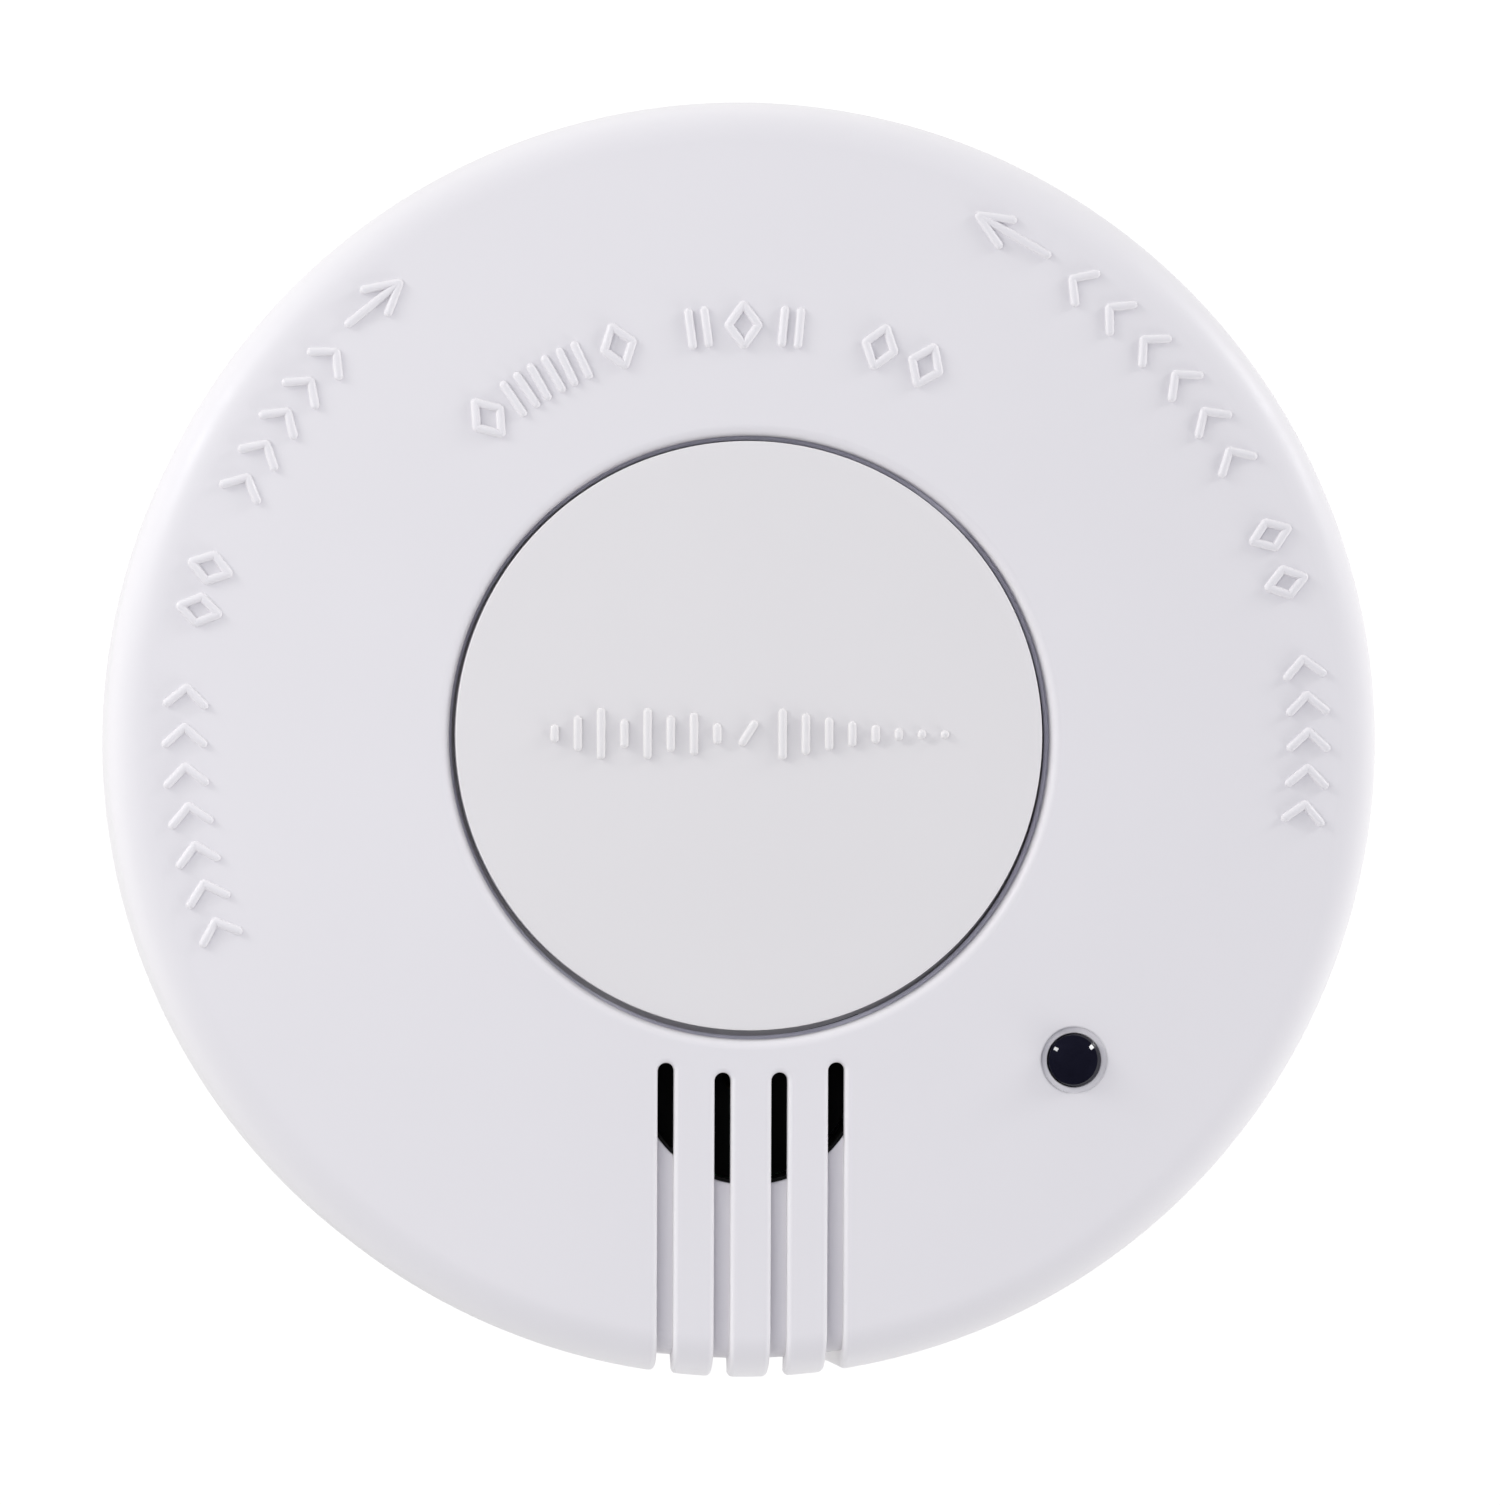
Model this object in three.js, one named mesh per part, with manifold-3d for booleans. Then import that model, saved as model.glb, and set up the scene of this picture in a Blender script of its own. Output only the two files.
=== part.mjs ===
// A battery smoke detector for a ceiling: a round white alarm with a large central test button,
// four sound slots, an indicator lens, and a mounting plate that it twists onto.
// Millimetres. The origin is the centre of the mounting plate's back face, which lies on the
// ceiling, and +Z runs from there into the room. -Y is the side with the sound slots.
import * as THREE from "three";
import { mergeVertices } from "three/addons/utils/BufferGeometryUtils.js";
import Module from "manifold-3d";

const wasm = await Module();
wasm.setup();

// ------------------------------------------------------------------ driving dimensions
const GAP = 0.3; // left between pieces that rest on each other
const ROUND = 60; // facets round the large turned pieces
const MEDIUM = 30;
const FINE = 16;
const PIN = 8;

const OUTER_R = 60; // at the cover's lower edge
const WALL = 1.8; // of the cover and the base housing
const FACE_Z = 35.6; // the cover's face beside the button
const FACE_DROP = 1.0; // how much lower the face is where the shoulder starts
const SHOULDER_R = 4.2;
const SKIRT_Z = 11.5; // the cover's lower edge
const SKIRT_DRAFT = 0.4;

const BUTTON_R = 27.35;
const BUTTON_HOLE_R = 27.7;
const HOLE_EDGE = 1.1; // radius of the rounded edge round the button
const COLLAR_R = 29.5;
const COLLAR_Z = 30.8;
const CAP_UNDERSIDE_Z = 34;

const SLOT_WIDTH = 1.48;
const SLOT_PITCH = 5.3;
const SLOT_START_R = 31.25;
const SLOT_DEPTH = 1.35;
const SLOT_DEPTH_AT_WALL = 1.75;
const SLOT_X = [-1.5, -0.5, 0.5, 1.5].map((n) => n * SLOT_PITCH);
const RECESS_Z = [10, 29.6]; // in the wall, from the ends of the bars out at the lower edge
const RECESS_BACK_Z = 15.2; // the recess is open to the inside below here

const SOUNDER = { x: 0, y: -31, r: 10.2, z0: 21.6, z1: 29 };
const POCKET_R = 10.6;
const LENS = { x: 30.25, y: -30.05, r: 2.4, hole: 3.05 };

const PLATE_R = 58.6;
const PLATE_T = 2;
const PLATE_LIP_Z = 4.2;
const CENTRE_HOLE_R = 16;
const FIXING_R = 30; // the screw slots and keyholes, 60 mm apart across the plate
const FIXING_HALF = 2.6; // half the width of a screw slot

const FLOOR_Z = 4.6; // the base housing's back
const FLOOR_TOP = FLOOR_Z + WALL;
const BASE_R = 59.4;
const RIM_TOP = 8;
const RING_OUTER_R = 57.8;
const RING_INNER_R = 56.4;
const RING_Z = [12.4, 14.6];
const WINDOW_RIBS = 36;

const HOOK_ANGLES = [75, 195, 315];
const HOOK_SPAN = 10;
const TWIST = 15; // degrees from locked to released
const HOOK = { inner: 47.5, post: 50.5, outer: 52.5, z0: FLOOR_TOP + GAP, z1: 8.2 };

const BOSS_ANGLES = [30, 150, 250];
const BOSS_RING_R = 52.6;

const BATTERY = { x: 26.25, y0: -24, y1: 22.4, z0: 5.2, wide: 26.5, thick: 17.5 };
const TERMINAL_SPACING = 12.7;
const BAY = { x0: 12.6, x1: 39.9, y0: -24.4, y1: 30.6, roof: 23.2, wall: 1.4 };

const BOARD = { r: 48.5, z: 10.5, t: 1.6 };
const BOARD_TOP = BOARD.z + BOARD.t;
const ON_BOARD = BOARD_TOP + GAP;
const STANDOFFS = [[-38, -22], [4, 44], [23, -36.4]];

const CHAMBER = { x: -27.5, y: 5, r: 20.5, top: 25 };
const OPTICS_Z = 19.6;
const EMITTER_ANGLE = 70;
const RECEIVER_ANGLE = 200;
const VANES = 18;

const SWITCH = { half: 3, z1: 15.9, plungerTop: 18.4 };
const GUIDE_TOP = 24.4;

// ------------------------------------------------------------------ materials
const paint = (color, roughness, metalness = 0) =>
  new THREE.MeshStandardMaterial({ color, roughness, metalness });
const WHITE = paint(0xe3e1e6, 0.45);
const BUTTON_WHITE = paint(0xdedce1, 0.45);
const BLACK = paint(0x141316, 0.5);
const LENS_BLACK = paint(0x0b0b12, 0.08);
const CLEAR = paint(0xd8dde2, 0.1);
const BOARD_GREEN = paint(0x1e6b3c, 0.5);
const BRASS = paint(0xc9a24a, 0.35, 1);
const STEEL = paint(0xb8babd, 0.3, 1);
const JACKET = paint(0x3a4048, 0.35, 0.6);
const RED = paint(0xb3202a, 0.45);
const FERRITE = paint(0x3b3835, 0.7);
const CAN = paint(0x22324a, 0.35);
const TAN = paint(0xcdb38a, 0.5);

// ------------------------------------------------------------------ solids
// A closed three.js geometry as a manifold-3d solid, turned right side out.
function solidOf(geometry) {
  const bare = geometry.clone();
  bare.deleteAttribute("normal");
  bare.deleteAttribute("uv");
  const merged = mergeVertices(bare, 1e-4);
  const triVerts = new Uint32Array(merged.index.array);
  const vertProperties = merged.attributes.position.array;
  const make = () => new wasm.Manifold(new wasm.Mesh({ numProp: 3, vertProperties, triVerts }));
  const made = make();
  if (made.volume() >= 0) return made;
  for (let i = 0; i < triVerts.length; i += 3)
    [triVerts[i + 1], triVerts[i + 2]] = [triVerts[i + 2], triVerts[i + 1]];
  return make();
}

function geometryOf(solid) {
  const mesh = solid.getMesh();
  const position = new Float32Array(mesh.numVert * 3);
  for (let i = 0; i < mesh.numVert; i++)
    position.set(mesh.vertProperties.subarray(i * mesh.numProp, i * mesh.numProp + 3), i * 3);
  const geometry = new THREE.BufferGeometry();
  geometry.setAttribute("position", new THREE.BufferAttribute(position, 3));
  geometry.setIndex(new THREE.BufferAttribute(mesh.triVerts, 1));
  geometry.computeVertexNormals();
  return geometry;
}

const join = (...solids) => solids.reduce((all, one) => all.add(one));
const cut = (solid, ...tools) => tools.reduce((left, tool) => left.subtract(tool), solid);
const radians = (degrees) => (degrees * Math.PI) / 180;
const polar = (r, degrees) => [r * Math.cos(radians(degrees)), r * Math.sin(radians(degrees))];

// A profile of [radius, z] points turned about Z. It starts and ends on the axis, or closes.
function turned(profile, facets = ROUND) {
  const points = profile.map(([r, z]) => new THREE.Vector2(r, z));
  if (profile[0][0] > 0) points.push(points[0].clone());
  return solidOf(new THREE.LatheGeometry(points, facets).rotateX(Math.PI / 2));
}

// An upright tube or, with no inner radius, an upright rod.
function tube(outer, inner, z0, z1, [x, y] = [0, 0], facets = MEDIUM) {
  const rod = (r, low, high) =>
    solidOf(
      new THREE.CylinderGeometry(r, r, high - low, facets)
        .rotateX(Math.PI / 2)
        .translate(x, y, (low + high) / 2),
    );
  const body = rod(outer, z0, z1);
  return inner ? body.subtract(rod(inner, z0 - 1, z1 + 1)) : body;
}

function block([x0, x1], [y0, y1], [z0, z1]) {
  const box = new THREE.BoxGeometry(x1 - x0, y1 - y0, z1 - z0);
  return solidOf(box.translate((x0 + x1) / 2, (y0 + y1) / 2, (z0 + z1) / 2));
}

// A flat outline, with optional curves, raised from z0 to z1.
function raised(shape, z0, z1, curveSegments = 8) {
  const options = { depth: z1 - z0, bevelEnabled: false, curveSegments };
  return solidOf(new THREE.ExtrudeGeometry(shape, options).translate(0, 0, z0));
}

// Part of a flat ring between two radii and two angles in degrees.
function sector([r0, r1], [a0, a1], [z0, z1], curveSegments = 6) {
  const shape = new THREE.Shape();
  shape.absarc(0, 0, r1, radians(a0), radians(a1), false);
  shape.absarc(0, 0, r0, radians(a1), radians(a0), true);
  shape.closePath();
  return raised(shape, z0, z1, curveSegments);
}

// A round wire along points, closed at both ends.
function wire(points, radius, steps, sides = 8) {
  const section = new THREE.Shape();
  section.absarc(0, 0, radius, 0, 2 * Math.PI, false);
  const path = new THREE.CatmullRomCurve3(points.map((p) => new THREE.Vector3(...p)));
  const options = { steps, bevelEnabled: false, extrudePath: path, curveSegments: sides / 2 };
  return solidOf(new THREE.ExtrudeGeometry(section, options));
}

// ------------------------------------------------------------------ the scene graph
const detector = new THREE.Group();
const bracket = new THREE.Group();
const alarm = new THREE.Group();
const button = new THREE.Group();
const plunger = new THREE.Group();
detector.add(bracket, alarm);
alarm.add(button, plunger);

function part(group, name, solid, material) {
  const mesh = new THREE.Mesh(geometryOf(solid), material);
  mesh.name = name;
  group.add(mesh);
}

// ------------------------------------------------------------------ mounting plate
function mountingPlate() {
  const plate = turned([
    [CENTRE_HOLE_R, 0],
    [PLATE_R, 0],
    [PLATE_R, PLATE_LIP_Z],
    [PLATE_R - 2, PLATE_LIP_Z],
    [PLATE_R - 2, PLATE_T],
    [CENTRE_HOLE_R + 1.4, PLATE_T],
    [CENTRE_HOLE_R + 1.4, PLATE_T + 1.4],
    [CENTRE_HOLE_R, PLATE_T + 1.4],
  ]);
  const ribs = [45, 135, 225, 315].map((angle) => {
    const rib = new THREE.BoxGeometry(PLATE_R - CENTRE_HOLE_R - 2, 1.2, 2);
    rib.translate((PLATE_R + CENTRE_HOLE_R) / 2 - 0.5, 0, PLATE_T + 0.2);
    return solidOf(rib.rotateZ(radians(angle)));
  });
  const hooks = HOOK_ANGLES.map((angle) => {
    const span = [angle - HOOK_SPAN / 2, angle + HOOK_SPAN / 2];
    const post = sector([HOOK.post, HOOK.outer], span, [PLATE_T - 0.5, HOOK.z1]);
    const tab = sector([HOOK.inner, HOOK.outer], span, [HOOK.z0, HOOK.z1]);
    return join(post, tab);
  });
  const through = [-1, PLATE_T + 1];
  const curvedSlots = [0, 180].map((angle) => {
    const ends = [angle - 11, angle + 11].map((end) =>
      tube(FIXING_HALF, 0, ...through, polar(FIXING_R, end), FINE),
    );
    const radii = [FIXING_R - FIXING_HALF, FIXING_R + FIXING_HALF];
    const middle = sector(radii, [angle - 11, angle + 11], through);
    return join(middle, ...ends);
  });
  const keyholes = [1, -1].map((side) => {
    const head = tube(4.4, 0, ...through, [0, side * FIXING_R], FINE);
    const neckY = [side * FIXING_R, side * (FIXING_R + 7)].sort((a, b) => a - b);
    const neck = block([-2.4, 2.4], neckY, through);
    const end = tube(2.4, 0, ...through, [0, side * (FIXING_R + 7)], FINE);
    return join(head, neck, end);
  });
  return cut(join(plate, ...ribs, ...hooks), ...curvedSlots, ...keyholes);
}

// ------------------------------------------------------------------ base housing
function baseHousing() {
  const shell = turned([
    [0, FLOOR_Z],
    [BASE_R, FLOOR_Z],
    [BASE_R, RIM_TOP],
    [RING_INNER_R, RIM_TOP],
    [RING_INNER_R, FLOOR_TOP],
    [0, FLOOR_TOP],
  ]);
  const ring = turned([
    [RING_INNER_R, RING_Z[0]],
    [RING_OUTER_R, RING_Z[0]],
    [RING_OUTER_R, RING_Z[1]],
    [RING_INNER_R, RING_Z[1]],
  ]);
  const windowRibs = Array.from({ length: WINDOW_RIBS }, (_, n) => {
    const rib = new THREE.BoxGeometry(1.2, 1.6, RING_Z[0] - RIM_TOP + 1);
    rib.translate((RING_INNER_R + RING_OUTER_R) / 2, 0, (RING_Z[0] + RIM_TOP) / 2);
    return solidOf(rib.rotateZ((2 * Math.PI * (n + 0.5)) / WINDOW_RIBS));
  });
  const bosses = BOSS_ANGLES.map((angle) =>
    tube(3.1, 0, FLOOR_Z, 9, polar(BOSS_RING_R, angle), FINE),
  );
  const bossHoles = BOSS_ANGLES.flatMap((angle) => [
    tube(2.6, 0, 0, FLOOR_TOP + 0.2, polar(BOSS_RING_R, angle), FINE),
    tube(1.5, 0, 0, 20, polar(BOSS_RING_R, angle), PIN),
  ]);
  const standoffs = STANDOFFS.map((at) => tube(2.5, 0, FLOOR_Z, BOARD.z - GAP, at, FINE));
  const standoffHoles = STANDOFFS.map((at) => tube(1.4, 0, 7.5, 20, at, PIN));
  const { x0, x1, y0, y1, roof, wall } = BAY;
  const bayOuter = block([x0 - wall, x1 + wall], [y0 - wall, y1 + wall], [FLOOR_Z, roof + wall]);
  const bayInner = block([x0, x1], [y0, y1], [0, roof]);
  const wireWindow = block([x0 - wall - 1, x0 + 1], [25.4, 29.8], [13.6, 17.2]);
  const entrySlots = HOOK_ANGLES.flatMap((angle) => {
    const half = HOOK_SPAN / 2 + 0.6;
    const entry = angle - TWIST;
    const through = [0, FLOOR_TOP + 1];
    return [
      sector([HOOK.post - 0.3, HOOK.outer + 0.3], [entry - half, angle + half], through, 10),
      sector([HOOK.inner - 0.4, HOOK.outer + 0.3], [entry - half, entry + half], through),
    ];
  });
  const whole = join(shell, ring, ...windowRibs, ...bosses, ...standoffs, bayOuter);
  return cut(whole, bayInner, wireWindow, ...bossHoles, ...standoffHoles, ...entrySlots);
}

// ------------------------------------------------------------------ front cover
// The cover's outer profile, moved inwards: down by `depth` on the face and in by `inset` on the
// wall. It runs from the radius `start` over the shoulder to the lower edge.
function coverProfile(depth, inset, start, low = SKIRT_Z, steps = 5) {
  const faceRun = OUTER_R - SHOULDER_R - BUTTON_HOLE_R;
  const faceZ = (r) => FACE_Z - (FACE_DROP * (r - BUTTON_HOLE_R)) / faceRun;
  const shoulderR = OUTER_R - SKIRT_DRAFT - SHOULDER_R;
  const centreZ = faceZ(shoulderR) - SHOULDER_R;
  const arc = Array.from({ length: steps + 1 }, (_, n) => {
    const turn = (Math.PI / 2) * (n / steps);
    return [
      shoulderR + (SHOULDER_R - inset) * Math.sin(turn),
      centreZ + (SHOULDER_R - depth) * Math.cos(turn),
    ];
  });
  return [[start, faceZ(start) - depth], ...arc, [OUTER_R - inset, low]];
}

function slotCutter() {
  const strips = SLOT_X.map((x) => {
    const endY = -Math.sqrt(SLOT_START_R ** 2 - x ** 2) - SLOT_WIDTH / 2;
    const z = [RECESS_Z[0], FACE_Z + 5];
    const straight = block([x - SLOT_WIDTH / 2, x + SLOT_WIDTH / 2], [-OUTER_R - 2, endY], z);
    return join(straight, tube(SLOT_WIDTH / 2, 0, ...z, [x, endY], FINE));
  });
  const sides = [SLOT_X[0] - SLOT_WIDTH / 2, SLOT_X[3] + SLOT_WIDTH / 2];
  const recess = block(sides, [-OUTER_R - 2, -OUTER_R + 5], RECESS_Z);
  const floorSkin = coverProfile(SLOT_DEPTH, SLOT_DEPTH_AT_WALL, 20, RECESS_BACK_Z, 3);
  const floor = turned([[0, FACE_Z - SLOT_DEPTH], ...floorSkin, [0, RECESS_BACK_Z]]);
  const overSounder = tube(POCKET_R, 0, RECESS_BACK_Z - 1, FACE_Z + 1, [SOUNDER.x, SOUNDER.y]);
  return cut(join(...strips, recess), floor.subtract(overSounder));
}

function frontCover() {
  const outer = coverProfile(0, 0, BUTTON_HOLE_R + HOLE_EDGE);
  const inner = coverProfile(1.9, WALL, COLLAR_R - 0.5, SKIRT_Z, 3).reverse();
  const shell = turned([...outer, ...inner]);
  const edge = [0, 1, 2].map((n) => {
    const turn = (Math.PI / 2) * (n / 2);
    return [
      BUTTON_HOLE_R + HOLE_EDGE - HOLE_EDGE * Math.cos(turn),
      FACE_Z - HOLE_EDGE + HOLE_EDGE * Math.sin(turn),
    ];
  });
  const collar = turned([
    [BUTTON_HOLE_R, COLLAR_Z],
    ...edge,
    [COLLAR_R, FACE_Z - 0.5],
    [COLLAR_R, COLLAR_Z],
  ]);
  const padSkin = coverProfile(0.9, 0.9, COLLAR_R - 0.5, 15, 3);
  const padBack = coverProfile(4.2, 3.4, COLLAR_R - 0.5, 15, 3).reverse();
  const pad = turned([...padSkin, ...padBack]).intersect(
    block([-13.2, 13.2], [-OUTER_R, -20], [14, 40]),
  );
  const sounderAt = [SOUNDER.x, SOUNDER.y];
  const buttonSpace = tube(COLLAR_R + 0.1, 0, 29.4, 40, [0, 0], ROUND);
  const sounderWall = tube(POCKET_R + 1.4, 0, 22.5, 33, sounderAt).subtract(buttonSpace);
  const pocket = tube(POCKET_R, 0, 15, 33.15, sounderAt);
  const pillars = BOSS_ANGLES.map((angle) => tube(2.9, 0, 9.3, 33, polar(BOSS_RING_R, angle), FINE));
  const pillarHoles = BOSS_ANGLES.map((angle) =>
    tube(1.5, 0, 5, 20, polar(BOSS_RING_R, angle), PIN),
  );
  const lensHole = tube(LENS.hole, 0, 28, 40, [LENS.x, LENS.y]);
  const body = join(shell, pad, sounderWall, ...pillars);
  return cut(body, pocket, slotCutter(), lensHole, ...pillarHoles).add(collar);
}

// ------------------------------------------------------------------ test button
function testButton() {
  const cap = turned([
    [0, CAP_UNDERSIDE_Z],
    [BUTTON_R - 1.6, CAP_UNDERSIDE_Z],
    [BUTTON_R - 1.6, COLLAR_Z - 0.2],
    [BUTTON_R, COLLAR_Z - 0.2],
    [BUTTON_R, FACE_Z - 0.2],
    [BUTTON_R - 0.25, FACE_Z + 0.05],
    [0, FACE_Z + 0.25],
  ]);
  const legs = [90, 210, 330].map((angle) => {
    const leg = new THREE.BoxGeometry(1.8, 5, 5.1).translate(BUTTON_R - 2.3, 0, 31.5);
    const hook = new THREE.BoxGeometry(4.8, 5, 1.6).translate(BUTTON_R - 0.8, 0, COLLAR_Z - 1.1);
    return join(solidOf(leg.rotateZ(radians(angle))), solidOf(hook.rotateZ(radians(angle))));
  });
  const springRing = tube(6.2, 5.2, 31.5, CAP_UNDERSIDE_Z + 0.5);
  const stem = tube(2.5, 0, SWITCH.plungerTop + GAP, CAP_UNDERSIDE_Z + 0.5, [0, 0], FINE);
  return join(cap, ...legs, springRing, stem);
}

function returnSpring() {
  const turns = 5;
  const z = [GUIDE_TOP + GAP + 0.3, CAP_UNDERSIDE_Z - GAP - 0.3];
  const steps = turns * 12;
  const points = Array.from({ length: steps + 1 }, (_, n) => {
    const [x, y] = polar(4.3, (360 * turns * n) / steps);
    return [x, y, z[0] + ((z[1] - z[0]) * n) / steps];
  });
  return wire(points, 0.3, steps, 6);
}

function stemGuide() {
  const profile = [
    [4.9, ON_BOARD],
    [6, ON_BOARD],
    [6, 18],
    [4.4, 19.6],
    [4.4, GUIDE_TOP - 1],
    [5.8, GUIDE_TOP - 1],
    [5.8, GUIDE_TOP],
    [3.1, GUIDE_TOP],
    [3.1, 18.6],
    [4.9, 17],
  ];
  return turned(profile, FINE + 4);
}

// ------------------------------------------------------------------ sounder
function sounderBody() {
  const { x, y, r, z0, z1 } = SOUNDER;
  const cup = tube(r, 0, z0, z1, [x, y]);
  const inside = tube(r - 1.2, 0, z0 - 1, z1 - 1.2, [x, y]);
  const outlet = tube(2.4, 0, z0, z1 + 1, [x, y], FINE);
  return cut(cup, inside, outlet);
}

// ------------------------------------------------------------------ smoke chamber
const aroundChamber = (geometry, degrees) =>
  solidOf(geometry.rotateZ(radians(degrees)).translate(CHAMBER.x, CHAMBER.y, 0));

// One zigzag wall that lets smoke past and keeps light out, drawn along +X.
function vane() {
  const line = [[18.4, -2.2], [16.2, 0.6], [13.8, -1.6]];
  const thickness = 0.9;
  const outline = [...line, ...line.map(([x, y]) => [x, y + thickness]).reverse()];
  const shape = new THREE.Shape(outline.map(([x, y]) => new THREE.Vector2(x, y)));
  const options = { depth: CHAMBER.top - 14.2, bevelEnabled: false };
  return new THREE.ExtrudeGeometry(shape, options).translate(0, 0, 14.2);
}

function chamberBase() {
  const at = [CHAMBER.x, CHAMBER.y];
  const disc = tube(CHAMBER.r, 0, ON_BOARD, 14.4, at, 36);
  const clearOf = (angle, other) => Math.abs(((angle - other + 540) % 360) - 180) > 22;
  const angles = Array.from({ length: VANES }, (_, n) => (360 * n) / VANES);
  const vanes = angles
    .filter((angle) => clearOf(angle, EMITTER_ANGLE) && clearOf(angle, RECEIVER_ANGLE))
    .map((angle) => aroundChamber(vane(), angle));
  const holders = [EMITTER_ANGLE, RECEIVER_ANGLE].map((angle) =>
    aroundChamber(new THREE.BoxGeometry(7.6, 8.4, 10.6).translate(10.9, 0, OPTICS_Z), angle),
  );
  const bores = [EMITTER_ANGLE, RECEIVER_ANGLE].map((angle) => {
    const bore = new THREE.CylinderGeometry(2.8, 2.8, 12, FINE).rotateZ(Math.PI / 2);
    return aroundChamber(bore.translate(10.9, 0, OPTICS_Z), angle);
  });
  return cut(join(disc, ...vanes, ...holders), ...bores);
}

function chamberCap() {
  const at = [CHAMBER.x, CHAMBER.y];
  const disc = tube(CHAMBER.r, 0, CHAMBER.top + GAP, 27, at, 36);
  const lip = tube(CHAMBER.r, CHAMBER.r - 0.7, 22.8, CHAMBER.top + 1, at, 36);
  return join(disc, lip);
}

// A 5 mm round optical package that lies flat and looks at the chamber's middle.
function opticalPackage(angle) {
  const dome = [0, 1, 2, 3].map((n) => {
    const turn = (Math.PI / 2) * (n / 3);
    return new THREE.Vector2(2.5 * Math.cos(turn), 6 + 2.5 * Math.sin(turn));
  });
  dome[3].x = 0;
  const profile = [[0, 0], [2.9, 0], [2.9, 1], [2.5, 1]].map(([r, h]) => new THREE.Vector2(r, h));
  const shape = new THREE.LatheGeometry([...profile, ...dome], FINE);
  return aroundChamber(shape.rotateZ(Math.PI / 2).translate(16.2, 0, OPTICS_Z), angle);
}

// ------------------------------------------------------------------ battery
function batteryTerminal(x, outer, inner, length = 2.4) {
  const y0 = BATTERY.y1 + GAP;
  const z = BATTERY.z0 + BATTERY.thick / 2;
  const stud = (r, y, height) =>
    solidOf(new THREE.CylinderGeometry(r, r, height, FINE).translate(x, y + height / 2, z));
  const body = stud(outer, y0, length);
  return inner ? body.subtract(stud(inner, y0 + 0.6, length)) : body;
}

function snapPiece(x, outer, inner) {
  const y0 = BATTERY.y1 + 1.3;
  const z = BATTERY.z0 + BATTERY.thick / 2;
  const ring = (r, low, high) =>
    solidOf(new THREE.CylinderGeometry(r, r, high - low, FINE).translate(x, (low + high) / 2, z));
  const body = ring(outer, y0, 25.9);
  return inner ? body.subtract(ring(inner, y0 - 1, 25.4)) : body;
}

// ------------------------------------------------------------------ board parts
function circuitBoard() {
  const disc = tube(BOARD.r, 0, BOARD.z, BOARD_TOP, [0, 0], ROUND);
  const bayCorner = block([BAY.x0 - BAY.wall - 0.4, 70], [BAY.y0 - BAY.wall - 0.4, 70], [0, 30]);
  const holes = STANDOFFS.map((at) => tube(1.6, 0, 0, 30, at, PIN));
  return cut(disc, bayCorner, ...holes);
}

function microcontroller([x, y]) {
  const body = block([x - 5, x + 5], [y - 2, y + 2], [ON_BOARD + 0.2, ON_BOARD + 1.9]);
  const leads = Array.from({ length: 8 }, (_, n) => {
    const at = x - 4.445 + n * 1.27;
    return block([at - 0.2, at + 0.2], [y - 3, y + 3], [ON_BOARD, ON_BOARD + 0.5]);
  });
  return join(body, ...leads);
}

function resistor([x, y], along) {
  const body = new THREE.CylinderGeometry(1.15, 1.15, 6, 12);
  const lead = new THREE.BoxGeometry(0.5, 10, 0.5);
  const legs = [-1, 1].map((side) =>
    new THREE.BoxGeometry(0.5, 0.5, 1.5).translate(0, side * 4.75, -0.6),
  );
  const place = (shape) => solidOf(shape.rotateZ(radians(along)).translate(x, y, ON_BOARD + 1.35));
  return join(...[body, lead, ...legs].map(place));
}

function screw([x, y], headR, headZ, tipZ, shaftR, up) {
  const head = tube(headR, 0, ...headZ, [x, y], FINE);
  const shaftZ = up ? [tipZ, headZ[0]] : [headZ[1], tipZ];
  const shaft = tube(shaftR, 0, ...shaftZ, [x, y], PIN);
  return join(head, shaft);
}

// ------------------------------------------------------------------ assembly
part(bracket, "mounting_plate", mountingPlate(), WHITE);
part(alarm, "base_housing", baseHousing(), WHITE);
part(alarm, "front_cover", frontCover(), WHITE);
part(alarm, "stem_guide", stemGuide(), WHITE);
part(alarm, "button_return_spring", returnSpring(), STEEL);
part(button, "test_button", testButton(), BUTTON_WHITE);

const lensTop = [0, 1, 2, 3, 4].map((n) => {
  const turn = (Math.PI / 2) * (n / 4);
  return [LENS.r * Math.cos(turn), 35.2 + 1.3 * Math.sin(turn)];
});
lensTop[4][0] = 0;
const lensFoot = [
  [0, 14.8],
  [LENS.r - 0.4, 14.8],
  [LENS.r - 0.4, 31.8],
  [3.8, 31.8],
  [3.8, 32.7],
  [LENS.r, 32.7],
];
const lightGuide = turned([...lensFoot, ...lensTop], MEDIUM);
part(alarm, "light_guide", lightGuide.translate([LENS.x, LENS.y, 0]), LENS_BLACK);
const ledAt = [LENS.x, LENS.y];
part(alarm, "indicator_led", tube(1.5, 0, ON_BOARD, 14.4, ledAt, FINE), CLEAR);

const sounderAt = [SOUNDER.x, SOUNDER.y];
part(alarm, "sounder_body", sounderBody(), BLACK);
part(alarm, "piezo_disc", tube(8.6, 0, 23, 23.4, sounderAt), BRASS);
[90, 210, 330].forEach((angle, n) => {
  const [dx, dy] = polar(5.5, angle);
  const at = [SOUNDER.x + dx, SOUNDER.y + dy];
  part(alarm, `sounder_contact_${n + 1}`, tube(0.6, 0, ON_BOARD, 23 - GAP, at, PIN), STEEL);
});

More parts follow.
